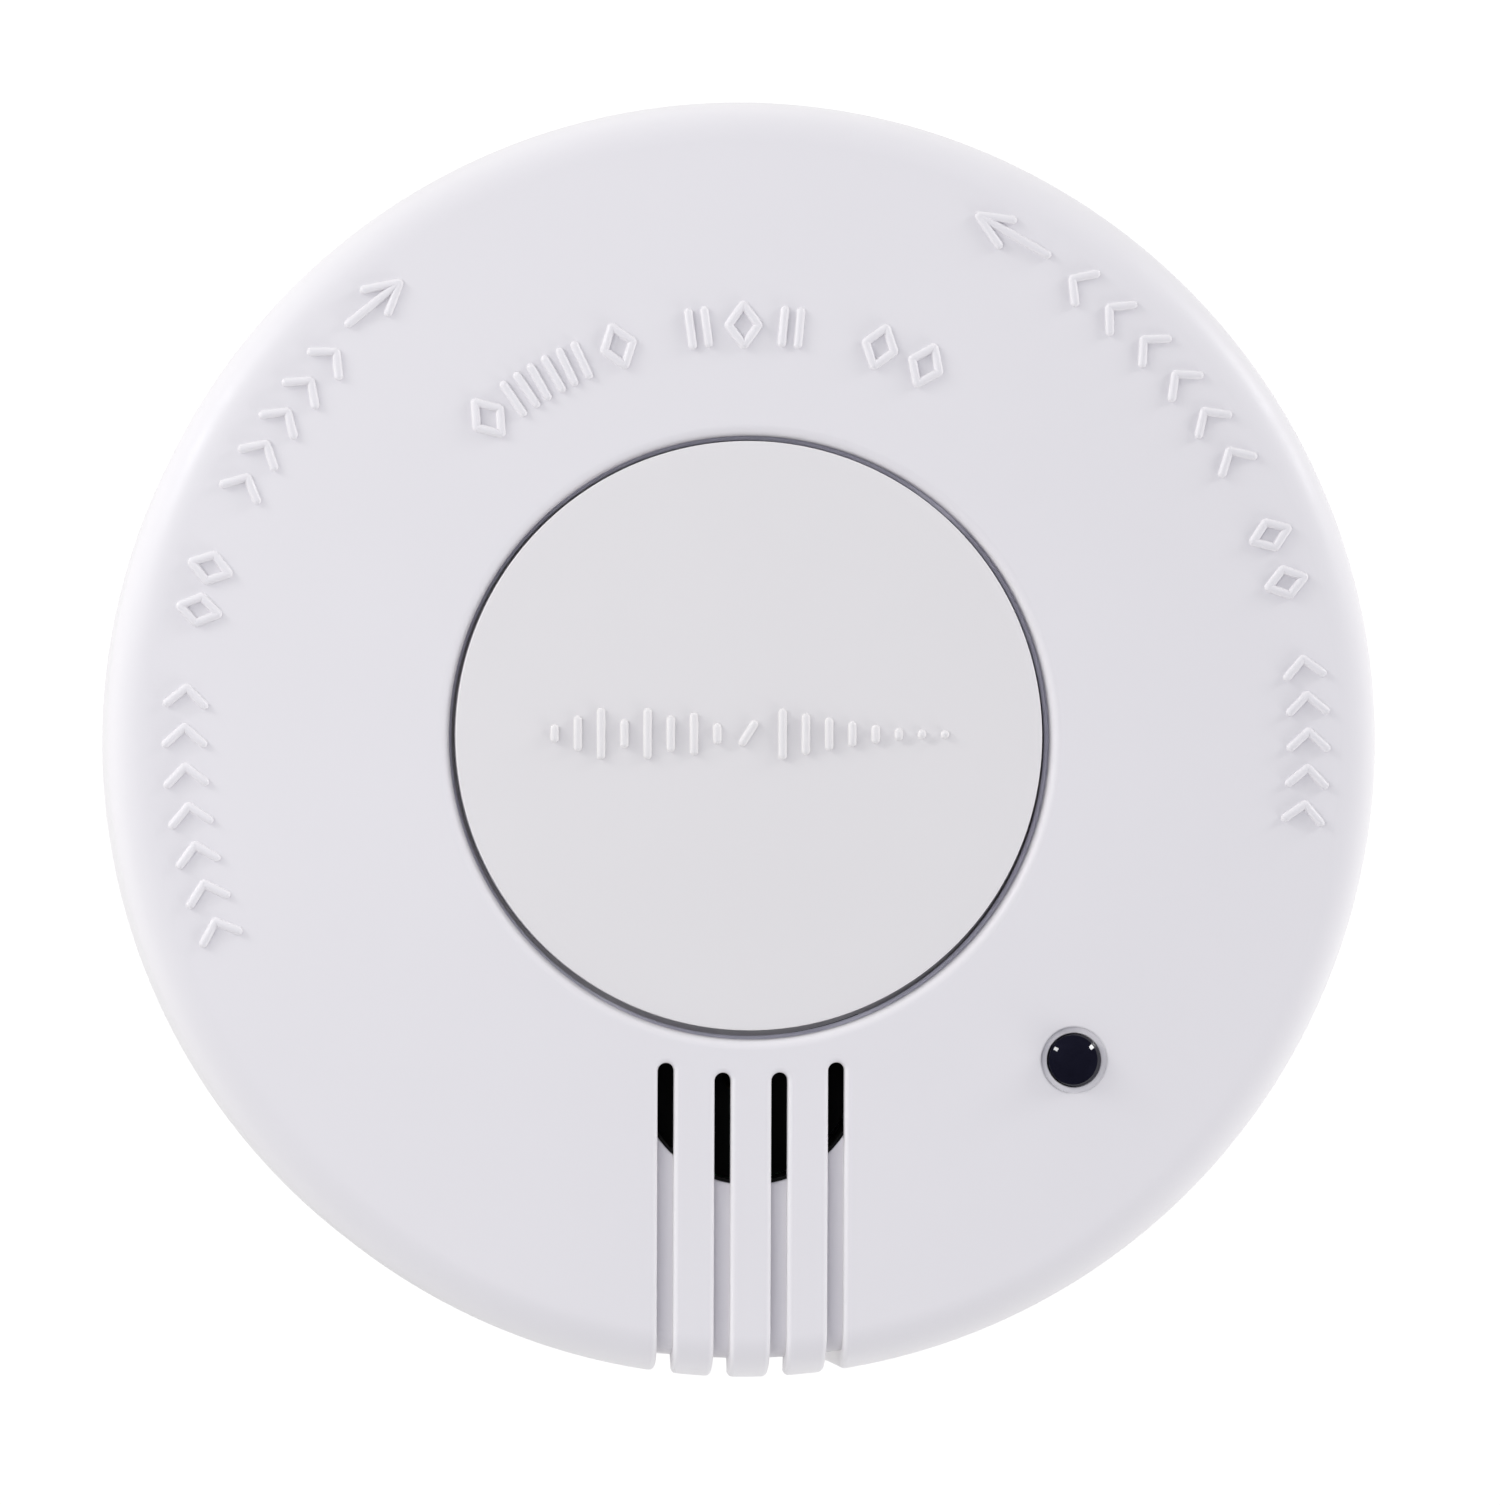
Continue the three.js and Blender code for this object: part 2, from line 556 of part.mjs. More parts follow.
part(alarm, "circuit_board", circuitBoard(), BOARD_GREEN);
part(alarm, "chamber_base", chamberBase(), BLACK);
const chamberAt = [CHAMBER.x, CHAMBER.y];
part(alarm, "insect_screen", tube(19.4, 19, 14.7, CHAMBER.top, chamberAt, 36), STEEL);
part(alarm, "chamber_cap", chamberCap(), BLACK);
part(alarm, "ir_emitter", opticalPackage(EMITTER_ANGLE), CLEAR);
part(alarm, "photodiode", opticalPackage(RECEIVER_ANGLE), LENS_BLACK);

const batteryX = [BATTERY.x - BATTERY.wide / 2, BATTERY.x + BATTERY.wide / 2];
const batteryZ = [BATTERY.z0, BATTERY.z0 + BATTERY.thick];
part(alarm, "battery", block(batteryX, [BATTERY.y0, BATTERY.y1], batteryZ), JACKET);
const positiveX = BATTERY.x - TERMINAL_SPACING / 2;
const negativeX = BATTERY.x + TERMINAL_SPACING / 2;
part(alarm, "battery_terminal_positive", batteryTerminal(positiveX, 2.9, 0), STEEL);
part(alarm, "battery_terminal_negative", batteryTerminal(negativeX, 4.3, 3.3), STEEL);
part(alarm, "snap_positive", snapPiece(positiveX, 4.2, 3.3), BRASS);
part(alarm, "snap_negative", snapPiece(negativeX, 2.8, 0), BRASS);
part(alarm, "snap_cover", block([14, 38.5], [26.2, 29.6], [7, 21]), BLACK);

const wireRoute = (y) => [
  [13.7, y, 15.4],
  [9.5, y, 15.4],
  [7, y, 14.6],
  [6, y, ON_BOARD + 0.1],
];
part(alarm, "battery_wire_red", wire(wireRoute(26.7), 0.6, 10, 6), RED);
part(alarm, "battery_wire_black", wire(wireRoute(28.5), 0.6, 10, 6), BLACK);

part(alarm, "microcontroller", microcontroller([-3, 32]), BLACK);
part(alarm, "capacitor_large", tube(3.15, 0, ON_BOARD, 23, [-16, -39], FINE), CAN);
part(alarm, "capacitor_small", tube(2.5, 0, ON_BOARD, 20, [-25, -33], FINE), CAN);
const drum = turned(
  [[0, ON_BOARD], [4, ON_BOARD], [4, 14], [2.6, 14], [2.6, 18.6], [4, 18.6], [4, 20], [0, 20]],
  FINE,
);
part(alarm, "inductor", drum.translate([13, -41, 0]), FERRITE);
part(alarm, "transistor", block([-9.6, -5], [-46, -42.4], [ON_BOARD + 1.5, 18]), BLACK);
[[-13, 38, 0], [-8.5, 40, 0], [-32, -28, 90], [4, 14, 90]].forEach(([x, y, along], n) =>
  part(alarm, `resistor_${n + 1}`, resistor([x, y], along), TAN),
);

const switchBody = cut(
  block([-SWITCH.half, SWITCH.half], [-SWITCH.half, SWITCH.half], [ON_BOARD, SWITCH.z1]),
  tube(2, 0, 13.4, 20, [0, 0], FINE),
);
part(alarm, "test_switch_body", switchBody, BLACK);
const plungerPin = tube(1.7, 0, 14.6, SWITCH.plungerTop, [0, 0], FINE);
part(plunger, "test_switch_plunger", plungerPin, BUTTON_WHITE);

BOSS_ANGLES.forEach((angle, n) => {
  const body = screw(polar(BOSS_RING_R, angle), 2.2, [4.9, 6.3], 18, 1.15, false);
  part(alarm, `housing_screw_${n + 1}`, body, STEEL);
});
STANDOFFS.forEach((at, n) => {
  const body = screw(at, 2.2, [ON_BOARD, ON_BOARD + 1.3], 8, 1.05, true);
  part(alarm, `board_screw_${n + 1}`, body, STEEL);
});

export default detector;
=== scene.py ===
"""The looks of a round ceiling smoke detector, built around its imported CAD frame.

Lengths in this script are millimetres until a mesh is made, and then metres. The frame's origin is
the centre of the mounting plate's back, +Z runs into the room and -Y is the side with the slots.
"""

import math

import bpy
import numpy as np
from mathutils import Matrix, Vector
from mathutils.geometry import delaunay_2d_cdt


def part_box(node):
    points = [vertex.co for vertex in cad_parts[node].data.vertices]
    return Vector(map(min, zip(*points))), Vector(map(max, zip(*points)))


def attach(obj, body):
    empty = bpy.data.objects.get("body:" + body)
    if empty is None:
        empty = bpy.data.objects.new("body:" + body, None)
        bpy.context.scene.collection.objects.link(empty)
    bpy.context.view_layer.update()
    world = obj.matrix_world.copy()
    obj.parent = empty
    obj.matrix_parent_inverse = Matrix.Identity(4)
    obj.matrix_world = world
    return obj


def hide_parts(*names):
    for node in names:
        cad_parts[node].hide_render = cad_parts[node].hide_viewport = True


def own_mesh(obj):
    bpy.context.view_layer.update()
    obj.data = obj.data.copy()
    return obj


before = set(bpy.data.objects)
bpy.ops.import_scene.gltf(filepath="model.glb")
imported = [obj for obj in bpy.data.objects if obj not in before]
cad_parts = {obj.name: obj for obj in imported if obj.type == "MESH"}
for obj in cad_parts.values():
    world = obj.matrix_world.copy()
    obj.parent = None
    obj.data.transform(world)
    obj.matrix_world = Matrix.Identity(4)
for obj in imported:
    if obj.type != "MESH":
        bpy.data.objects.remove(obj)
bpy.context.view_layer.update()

MM = 0.001
TAU = 2 * math.pi


def extent(node):
    """A CAD node's lowest and highest corner at rest, in millimetres."""
    low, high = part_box(node)
    return np.array(low) / MM, np.array(high) / MM


COVER_HIGH = extent("front_cover")[1]
LENS_LOW, LENS_HIGH = extent("light_guide")
SOUNDER_LOW, SOUNDER_HIGH = extent("sounder_body")
PLATE_LOW, PLATE_HIGH = extent("mounting_plate")
BASE_LOW, BASE_HIGH = extent("base_housing")
SPRING_LOW, SPRING_HIGH = extent("button_return_spring")

# The cover: a tilted face, a round shoulder and a side wall with a little draft.
OUTER_R = COVER_HIGH[0]
FACE_Z = COVER_HIGH[2]
SKIRT_Z = 11.5
SKIRT_DRAFT = 0.4
FACE_DROP = 1.0
SHOULDER_R = 4.2

# The button's hole, the collar round it below the face, and the ledge that closes the gap.
HOLE_R = 28.1
HOLE_FILLET = 1.0
COLLAR_INNER_R = 28.4
COLLAR_OUTER_R = 29.5
COLLAR_Z = 30.8
LEDGE_R = 27.75
LEDGE_Z = 33.1
LEDGE_THICK = 0.35
LEDGE_EDGE = 0.12
BUTTON_R = 27.35
BUTTON_STEP_R = 27.95
BUTTON_STEP_Z = 31.6

# The sound slots, the cover's thickness, and the web that floors the slots and the recess.
SLOT_WIDTH = 1.54
SLOT_PITCH = 5.3
SLOT_START_R = 31.25
SLOT_FILLET = 0.55
SLOT_X = [n * SLOT_PITCH for n in (-1.5, -0.5, 0.5, 1.5)]
BAR_END_Z = 29.6
SKIN_FACE = 1.3
SKIN_WALL = 1.75
WEB_LOW_Z = 15.2
WEB_HALF_WIDTH = 12.9
WEB_START_RHO = 31.0
WEB_THICK = 1.27
WEB_GAP = 0.03

# The indicator lens, and the sounder's round pocket.
LENS = (LENS_LOW + LENS_HIGH)[:2] / 2
LENS_R = 2.43
LENS_HOLE_R = 3.05
LENS_FILLET = 0.22
LENS_SEAT_R = 2.5
LENS_SEAT_DROP = 0.22
SOUNDER = (SOUNDER_LOW + SOUNDER_HIGH)[:2] / 2
POCKET_R = 10.6
POCKET_WALL = 1.3
POCKET_LOW_Z = 22.5
GASKET_THICK = 0.32


# ---------------------------------------------------------------- meshes
def piece(name, parts, material, body, replaces=(), crease=40):
    """One object from several closed meshes, each (vertices, faces, corner normals or None)."""
    vertices, faces, normals = [], [], []
    for part_vertices, part_faces, part_normals in parts:
        start = len(vertices)
        vertices.extend(tuple(np.asarray(v, float) * MM) for v in part_vertices)
        faces.extend([start + i for i in face] for face in part_faces)
        if part_normals is None:
            normals.extend([(0, 0, 0)] * sum(len(face) for face in part_faces))
        else:
            normals.extend(part_normals)
    mesh = bpy.data.meshes.new(name)
    mesh.from_pydata(vertices, [], faces)
    mesh.shade_smooth()
    mesh.set_sharp_from_angle(angle=math.radians(crease))
    if any(part[2] is not None for part in parts):
        mesh.normals_split_custom_set(normals)
    mesh.materials.append(material)
    thing = bpy.data.objects.new(name, mesh)
    bpy.context.scene.collection.objects.link(thing)
    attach(thing, body)
    if replaces:
        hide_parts(*replaces)
    return thing


def lathe(profile, segments=192, centre=(0, 0)):
    """A closed profile of (radius, z) turned about Z. Its ends lie on the axis, or it is a ring."""
    cx, cy = centre
    vertices, rings = [], []
    for r, z in profile:
        if r == 0:
            rings.append([len(vertices)])
            vertices.append((cx, cy, z))
            continue
        rings.append(list(range(len(vertices), len(vertices) + segments)))
        turns = (TAU * n / segments for n in range(segments))
        vertices.extend((cx + r * math.cos(t), cy + r * math.sin(t), z) for t in turns)
    pairs = list(zip(rings, rings[1:]))
    if profile[0][0] > 0:
        pairs.append((rings[-1], rings[0]))
    faces = []
    for low, high in pairs:
        for n in range(segments):
            m = (n + 1) % segments
            if len(low) == 1:
                faces.append([low[0], high[m], high[n]])
            elif len(high) == 1:
                faces.append([low[n], low[m], high[0]])
            else:
                faces.append([low[n], low[m], high[m], high[n]])
    area = sum(
        (a[0] * b[1] - b[0] * a[1]) for a, b in zip(profile, profile[1:] + profile[:1])
    )
    if area < 0:
        faces = [face[::-1] for face in faces]
    return vertices, faces, None


def inside(points, polygon):
    """Which of the points lie inside a closed polygon."""
    points, polygon = np.asarray(points), np.asarray(polygon)
    found = np.zeros(len(points), bool)
    for (x0, y0), (x1, y1) in zip(polygon, np.roll(polygon, -1, axis=0)):
        if y0 == y1:
            continue
        crosses = (points[:, 1] > min(y0, y1)) & (points[:, 1] <= max(y0, y1))
        at = x0 + (points[:, 1] - y0) * (x1 - x0) / (y1 - y0)
        found ^= crosses & (points[:, 0] < at)
    return found


def shell(outlines, fill, top, under, steps=5, both=False):
    """A closed sheet with rounded edges.

    Each outline is (fillet radius, function of how far to move into the material), and the first
    one is the outside, anticlockwise. The others are holes, clockwise. top and under turn plane
    points into places and normals on the sheet's two sides. Only the top edges are rounded unless
    both is set.
    """
    rims = [np.array(outline(fillet)) for fillet, outline in outlines]
    edges = [np.array(outline(0)) for _, outline in outlines]
    fill = np.asarray(fill, float).reshape(-1, 2)
    keep = inside(fill, rims[0])
    for rim in rims[1:]:
        keep &= ~inside(fill, rim)
    rim_points = np.concatenate(rims)
    near = [np.min(np.hypot(*(rim_points - p).T)) > 0.3 for p in fill[keep]]
    points = np.concatenate([rim_points, fill[keep][np.array(near, bool)]])
    links, start = [], 0
    for rim in rims:
        links += [(start + i, start + (i + 1) % len(rim)) for i in range(len(rim))]
        start += len(rim)
    found = delaunay_2d_cdt([Vector(p) for p in points], links, [], 0, 1e-6, True)
    flat = np.array([tuple(v) for v in found[0]])
    source = {i: n for n, originals in enumerate(found[3]) for i in originals}
    triangles = np.array([list(t) for t in found[2]])
    middles = flat[triangles].mean(axis=1)
    wanted = inside(middles, rims[0])
    for rim in rims[1:]:
        wanted &= ~inside(middles, rim)
    triangles = triangles[wanted]
    a, b, c = (flat[triangles[:, i]] for i in range(3))
    turned = np.cross(b - a, c - a) < 0
    triangles[turned] = triangles[turned][:, ::-1]

    upper, upper_normal = top(flat)
    lower, lower_normal = under(flat)
    count = len(flat)
    vertices = [*upper, *lower]
    faces, normals = [], []

    def band(near_ring, far_ring):
        (near_ids, near_normals), (far_ids, far_normals) = near_ring, far_ring
        for i in range(len(near_ids)):
            j = (i + 1) % len(near_ids)
            faces.append([near_ids[i], far_ids[i], far_ids[j], near_ids[j]])
            normals.extend([near_normals[i], far_normals[i], far_normals[j], near_normals[j]])

    def rounding(side_of_sheet, rim, edge, fillet):
        rings = []
        for k in range(1, steps + 1):
            turn = math.pi / 2 * (1 - k / steps)
            place, normal = side_of_sheet(rim + (edge - rim) * math.cos(turn))
            away = side_of_sheet(edge)[0] - side_of_sheet(rim)[0]
            away -= normal * np.sum(away * normal, axis=1)[:, None]
            away /= np.linalg.norm(away, axis=1)[:, None]
            place = place - normal * fillet * (1 - math.sin(turn))
            facing = normal * math.sin(turn) + away * math.cos(turn)
            rings.append((list(range(len(vertices), len(vertices) + len(rim))), list(facing)))
            vertices.extend(place)
        return rings

    for triangle in triangles:
        faces.append([int(i) for i in triangle])
        normals += [upper_normal[i] for i in triangle]
        faces.append([count + int(i) for i in triangle[::-1]])
        normals += [lower_normal[i] for i in triangle[::-1]]

    start = 0
    for (fillet, _), rim, edge in zip(outlines, rims, edges):
        ids = [source[start + i] for i in range(len(rim))]
        start += len(rim)
        back_ids = [count + i for i in ids]
        rings = [(ids, [upper_normal[i] for i in ids]), *rounding(top, rim, edge, fillet)]
        if both:
            back = (back_ids, [lower_normal[i] for i in ids])
            rings += [*rounding(under, rim, edge, fillet)[::-1], back]
        else:
            foot, foot_normal = under(edge)
            new = list(range(len(vertices), len(vertices) + len(rim)))
            vertices.extend(foot)
            rings.append((new, rings[-1][1]))
        for near_ring, far_ring in zip(rings, rings[1:]):
            band(near_ring, far_ring)
        if not both:
            band((new, list(foot_normal)), (back_ids, list(foot_normal)))
    return vertices, faces, [tuple(n) for n in normals]


def slab(outlines, low, high, steps=3):
    """A flat plate between two heights, rounded at the edges of both its sides."""

    def side(z, up):
        def place(points):
            points = np.asarray(points, float)
            count = len(points)
            normal = np.tile([0.0, 0.0, float(up)], (count, 1))
            return np.column_stack([points, np.full(count, z)]), normal

        return place

    return shell(outlines, [], side(high, 1), side(low, -1), steps, both=True)


def polygon(corners):
    """The outline of a straight-sided shape, anticlockwise, as a function of how far to move in."""
    corners = np.array(corners, float)
    ahead = np.roll(corners, -1, axis=0) - corners
    ahead /= np.linalg.norm(ahead, axis=1)[:, None]
    left = np.column_stack([-ahead[:, 1], ahead[:, 0]])
    before = np.roll(left, 1, axis=0)
    mitre = (left + before) / (1 + np.sum(left * before, axis=1))[:, None]
    return lambda inset: corners + mitre * inset


def hole(outline):
    """The same outline as the edge of a hole, clockwise and moving outwards."""
    return lambda inset: np.array(outline(-inset))[::-1]


def disc(r, centre=(0, 0), count=96):
    """A round outline, as a function of how far to move in."""
    return lambda inset: circle(r - inset, centre, count)


def rectangle(x, y):
    return polygon([(x[0], y[0]), (x[1], y[0]), (x[1], y[1]), (x[0], y[1])])


def arc(r, start, end, count):
    """Points along part of a circle, its angles in degrees."""
    turns = np.radians(np.linspace(start, end, count))
    return [(r * math.cos(t), r * math.sin(t)) for t in turns]


def around(r, degrees, along=0.0, out=0.0):
    """The point at a radius and an angle, moved along the circle there and outwards."""
    t = math.radians(degrees)
    ahead = np.array([-math.sin(t), math.cos(t)])
    outwards = np.array([math.cos(t), math.sin(t)])
    return tuple(outwards * (r + out) + ahead * along)


def rib_outline(degrees, start, end, half_width):
    """A straight rib that runs outwards between two radii, seen from above."""
    corners = [(start, -half_width), (end, -half_width), (end, half_width), (start, half_width)]
    return polygon([around(r, degrees, side) for r, side in corners])


def sector(r0, r1, start, end, centre=(0, 0), count=12):
    """A piece of a ring between two angles in degrees, anticlockwise."""

    def place(inset):
        skew = [math.degrees(math.asin(inset / r)) for r in (r1 - inset, r0 + inset)]
        outer = arc(r1 - inset, start + skew[0], end - skew[0], count)
        inner = arc(r0 + inset, end - skew[1], start + skew[1], count)
        return [(centre[0] + x, centre[1] + y) for x, y in outer + inner]

    return place


def rounded(outline, radius, count=6):
    """An outline with its corners drawn as arcs of a radius that shrinks as it moves in."""

    def place(inset):
        inner = np.array(outline(radius))
        r = max(radius - inset, 0.02)
        points = []
        for before, at, after in zip(np.roll(inner, 1, axis=0), inner, np.roll(inner, -1, axis=0)):
            a, b = at - before, after - at
            start, end = (math.atan2(-side[0], side[1]) for side in (a, b))
            step = (end - start + math.pi) % TAU - math.pi
            for n in range(count + 1):
                t = start + step * n / count
                points.append((at[0] + r * math.cos(t), at[1] + r * math.sin(t)))
        return points

    return place


def stroke(path, width, height, surface, sunk=0.12, round_steps=5):
    """A raised rounded stroke along a path of (x, y) that follows a surface's height."""
    path = np.array(path, float)
    lengths = np.hypot(*np.diff(path, axis=0).T)
    along = np.concatenate([[0], np.cumsum(lengths)])
    total, half = along[-1], width / 2
    caps = [half * (1 - math.cos(math.pi / 2 * n / round_steps)) for n in range(round_steps + 1)]
    stations = caps + [v for v in along[1:-1] if half < v < total - half]
    stations += list(np.arange(half + 0.8, total - half - 0.3, 0.8)) if len(path) == 2 else []
    stations += [total - cap for cap in caps]
    stations = sorted(set(round(v, 5) for v in stations))
    vertices, rings = [], []
    sides = 10
    for at in stations:
        x, y = np.interp(at, along, path[:, 0]), np.interp(at, along, path[:, 1])
        ahead = np.array([np.interp(min(at + 0.05, total), along, path[:, i]) for i in (0, 1)])
        behind = np.array([np.interp(max(at - 0.05, 0), along, path[:, i]) for i in (0, 1)])
        tangent = (ahead - behind) / np.linalg.norm(ahead - behind)
        across = np.array([tangent[1], -tangent[0]])
        from_end = max(0.0, half - min(at, total - at)) / half
        reach = max(math.sqrt(max(0.0, 1 - from_end**2)), 0.03)
        section = [(-reach, -sunk)]
        for n in range(sides + 1):
            s = -reach * math.cos(math.pi * n / sides)
            section.append((s, height * max(0.0, 1 - s**2 - from_end**2) ** 0.45))
        section.append((reach, -sunk))
        rings.append(list(range(len(vertices), len(vertices) + len(section))))
        for s, t in section:
            px, py = np.array([x, y]) + across * s * half
            vertices.append((px, py, surface(px, py) + t))
    faces = [rings[0][::-1], rings[-1]]
    size = len(rings[0])
    for near_ring, far_ring in zip(rings, rings[1:]):
        for i in range(size):
            j = (i + 1) % size
            faces.append([near_ring[i], near_ring[j], far_ring[j], far_ring[i]])
    return vertices, faces, None


# ---------------------------------------------------------------- the cover's surface
FACE_TILT = math.atan2(FACE_DROP, OUTER_R - SHOULDER_R - HOLE_R)
WALL_TILT = math.atan2(SKIRT_DRAFT, FACE_Z - SHOULDER_R - SKIRT_Z)
face_normal = np.array([math.sin(FACE_TILT), math.cos(FACE_TILT)])
wall_normal = np.array([math.cos(WALL_TILT), math.sin(WALL_TILT)])
shoulder_centre = np.linalg.solve(
    [face_normal, wall_normal],
    [
        face_normal @ [HOLE_R, FACE_Z] - SHOULDER_R,
        wall_normal @ [OUTER_R, SKIRT_Z] - SHOULDER_R,
    ],
)
shoulder_start = shoulder_centre + SHOULDER_R * face_normal
shoulder_end = shoulder_centre + SHOULDER_R * wall_normal
SHOULDER_TURN = math.pi / 2 - WALL_TILT - FACE_TILT
RHO_SHOULDER = shoulder_start[0]
RHO_WALL = RHO_SHOULDER + SHOULDER_R * SHOULDER_TURN
RHO_LOW = RHO_WALL + float(np.hypot(*(shoulder_end - [OUTER_R, SKIRT_Z])))
PARALLEL_HALF = 20
PARALLEL_FADE = 6
EDGE_STEPS = 281
BAR_CORNER_R = 0.75
LAND_CORNER_R = 0.6


def profile_at(rho):
    """Radius, height and normal of the cover's outside, a distance rho from the axis over it."""
    rho = np.asarray(rho, float)
    turn = FACE_TILT + np.clip((rho - RHO_SHOULDER) / SHOULDER_R, 0, SHOULDER_TURN)
    nr, nz = np.sin(turn), np.cos(turn)
    r = shoulder_centre[0] + SHOULDER_R * nr
    z = shoulder_centre[1] + SHOULDER_R * nz
    on_face = np.minimum(rho - RHO_SHOULDER, 0)
    down = np.maximum(rho - RHO_WALL, 0)
    r = r + on_face + down * wall_normal[1]
    z = z - on_face * math.tan(FACE_TILT) - down * wall_normal[0]
    return r, z, nr, nz


def cover_top(points, sunk=0.0, keep_x=False):
    """Places and normals on the cover's outside, or a depth below it, for unrolled plane points.

    With keep_x, the points near the slots sink without moving sideways, so that the slots' walls
    stay parallel.
    """
    points = np.asarray(points, float)
    rho = np.hypot(*points.T)
    direction = points / rho[:, None]
    r, z, nr, nz = profile_at(rho)
    normal = np.stack([direction[:, 0] * nr, direction[:, 1] * nr, nz], axis=1)
    inner_r = r - nr * sunk
    x, y = direction[:, 0] * inner_r, direction[:, 1] * inner_r
    if keep_x:
        outer_x = direction[:, 0] * r
        near_slots = np.clip((PARALLEL_HALF - np.abs(outer_x)) / PARALLEL_FADE, 0, 1)
        share = near_slots * (points[:, 1] < 0)
        x = x + (outer_x - x) * share
        y = np.where(share > 0, -np.sqrt(np.maximum(inner_r**2 - x**2, 0)), y)
    return np.stack([x, y, z - nz * sunk], axis=1), normal


def skin_depth(points):
    """The cover's wall thickness: thin on its face, thicker on its side wall."""
    rho = np.hypot(*np.asarray(points, float).T)
    share = np.clip((rho - RHO_SHOULDER) / (RHO_WALL - RHO_SHOULDER), 0, 1)
    return SKIN_FACE + (SKIN_WALL - SKIN_FACE) * share


def cover_under(points):
    """Places on the cover's inside, with normals that face into the housing."""
    place, normal = cover_top(points, skin_depth(points), keep_x=True)
    return place, -normal


def unrolled(x, rho):
    """The plane point a distance rho out over the cover, on the -Y side, at a given x."""
    r = float(profile_at(rho)[0])
    return (rho * x / r, -rho * math.sqrt(1 - (x / r) ** 2))


def face_z(x, y):
    """The height of the cover's outside over a point of its face."""
    return float(profile_at(math.hypot(x, y))[1])


def circle(r, centre=(0, 0), count=96, clockwise=False):
    """Points evenly round a circle."""
    sign = -1 if clockwise else 1
    turns = (sign * TAU * n / count for n in range(count))
    return [(centre[0] + r * math.cos(t), centre[1] + r * math.sin(t)) for t in turns]


def rho_at(z):
    """How far out over the cover its wall comes down to a height."""
    return RHO_WALL + (float(shoulder_end[1]) - z) / wall_normal[0]


def cover_outline(inset):
    """The lower edge, and up it the recess with the four slots between its bars, anticlockwise."""
    half = SLOT_WIDTH / 2
    low = RHO_LOW - inset
    bar_end = rho_at(BAR_END_Z) - inset
    end_y = [-math.sqrt(SLOT_START_R**2 - x**2) - half for x in SLOT_X]
    down = np.concatenate([np.linspace(0, 1, 15)[:-1], np.linspace(1, 2, 15)])

    def corner(x, rho, radius, start, end):
        turns = np.linspace(math.radians(start), math.radians(end), 6)
        return [unrolled(x + radius * math.cos(t), rho - radius * math.sin(t)) for t in turns]

    def flank(x, top_rho, low_rho, count=2):
        """Down one side of a slot, from its round end over the shoulder."""
        marks = [top_rho, RHO_SHOULDER, RHO_WALL]
        rhos = [float(np.interp(share, [0, 1, 2], marks)) for share in down]
        rhos += list(np.linspace(RHO_WALL, low_rho, count))[1:]
        return [unrolled(x, rho) for rho in rhos]

    bar = max(BAR_CORNER_R - inset, 0.05)
    land = max(LAND_CORNER_R - inset, 0.05)
    left, right = SLOT_X[0] - half - inset, SLOT_X[-1] + half + inset
    top_rho = math.hypot(left, end_y[0])
    low_r = float(profile_at(low)[0])

    # The lower edge, from the right land round to the left one, and up the recess's left side.
    start = math.asin((right + land) / low_r) - math.pi / 2
    turns = np.linspace(start, math.pi - start, EDGE_STEPS + 1)[1:-1]
    points = [(low * math.cos(t), low * math.sin(t)) for t in turns]
    points += corner(left - land, low - land, land, 270, 360)
    points += flank(left, top_rho, low - land, 15)[::-1][1:]

    # Each slot's round end, and then down, round and up the bar to its right.
    for n, x in enumerate(SLOT_X):
        turns = [math.pi * (1 - k / 14) for k in range(1, 14)]
        reach = half + inset
        points += [(x + reach * math.cos(t), end_y[n] + reach * math.sin(t)) for t in turns]
        if x == SLOT_X[-1]:
            break
        bar_left, bar_right = x + half + inset, SLOT_X[n + 1] - half - inset
        points += flank(bar_left, math.hypot(bar_left, end_y[n]), bar_end - bar)[:-1]
        points += corner(bar_left + bar, bar_end - bar, bar, 180, 270)
        points += corner(bar_right - bar, bar_end - bar, bar, 270, 360)
        rise = flank(bar_right, math.hypot(bar_right, end_y[n + 1]), bar_end - bar)
        points += rise[::-1][1:]

    # Down the recess's right side, to where the lower edge starts.
    points += flank(right, top_rho, low - land, 15)[:-1]
    points += corner(right + land, low - land, land, 180, 270)
    return points


def cover_fill():
    """Points that give the cover an even mesh, in circles about its axis."""
    count = 240
    face_end = RHO_SHOULDER - 0.3
    face = np.arange(HOLE_R + HOLE_FILLET + 1, face_end, 1.5)
    shoulder = np.linspace(RHO_SHOULDER, RHO_WALL, 17)
    wall = np.linspace(RHO_WALL, RHO_LOW, 8)[1:-1]
    points = []
    for n, rho in enumerate([*face, *shoulder, *wall]):
        offset = 0.5 * (n % 2) if rho < face_end else 0
        turns = (TAU * (k + offset) / count for k in range(count))
        points += [(rho * math.cos(t), rho * math.sin(t)) for t in turns]
    return points


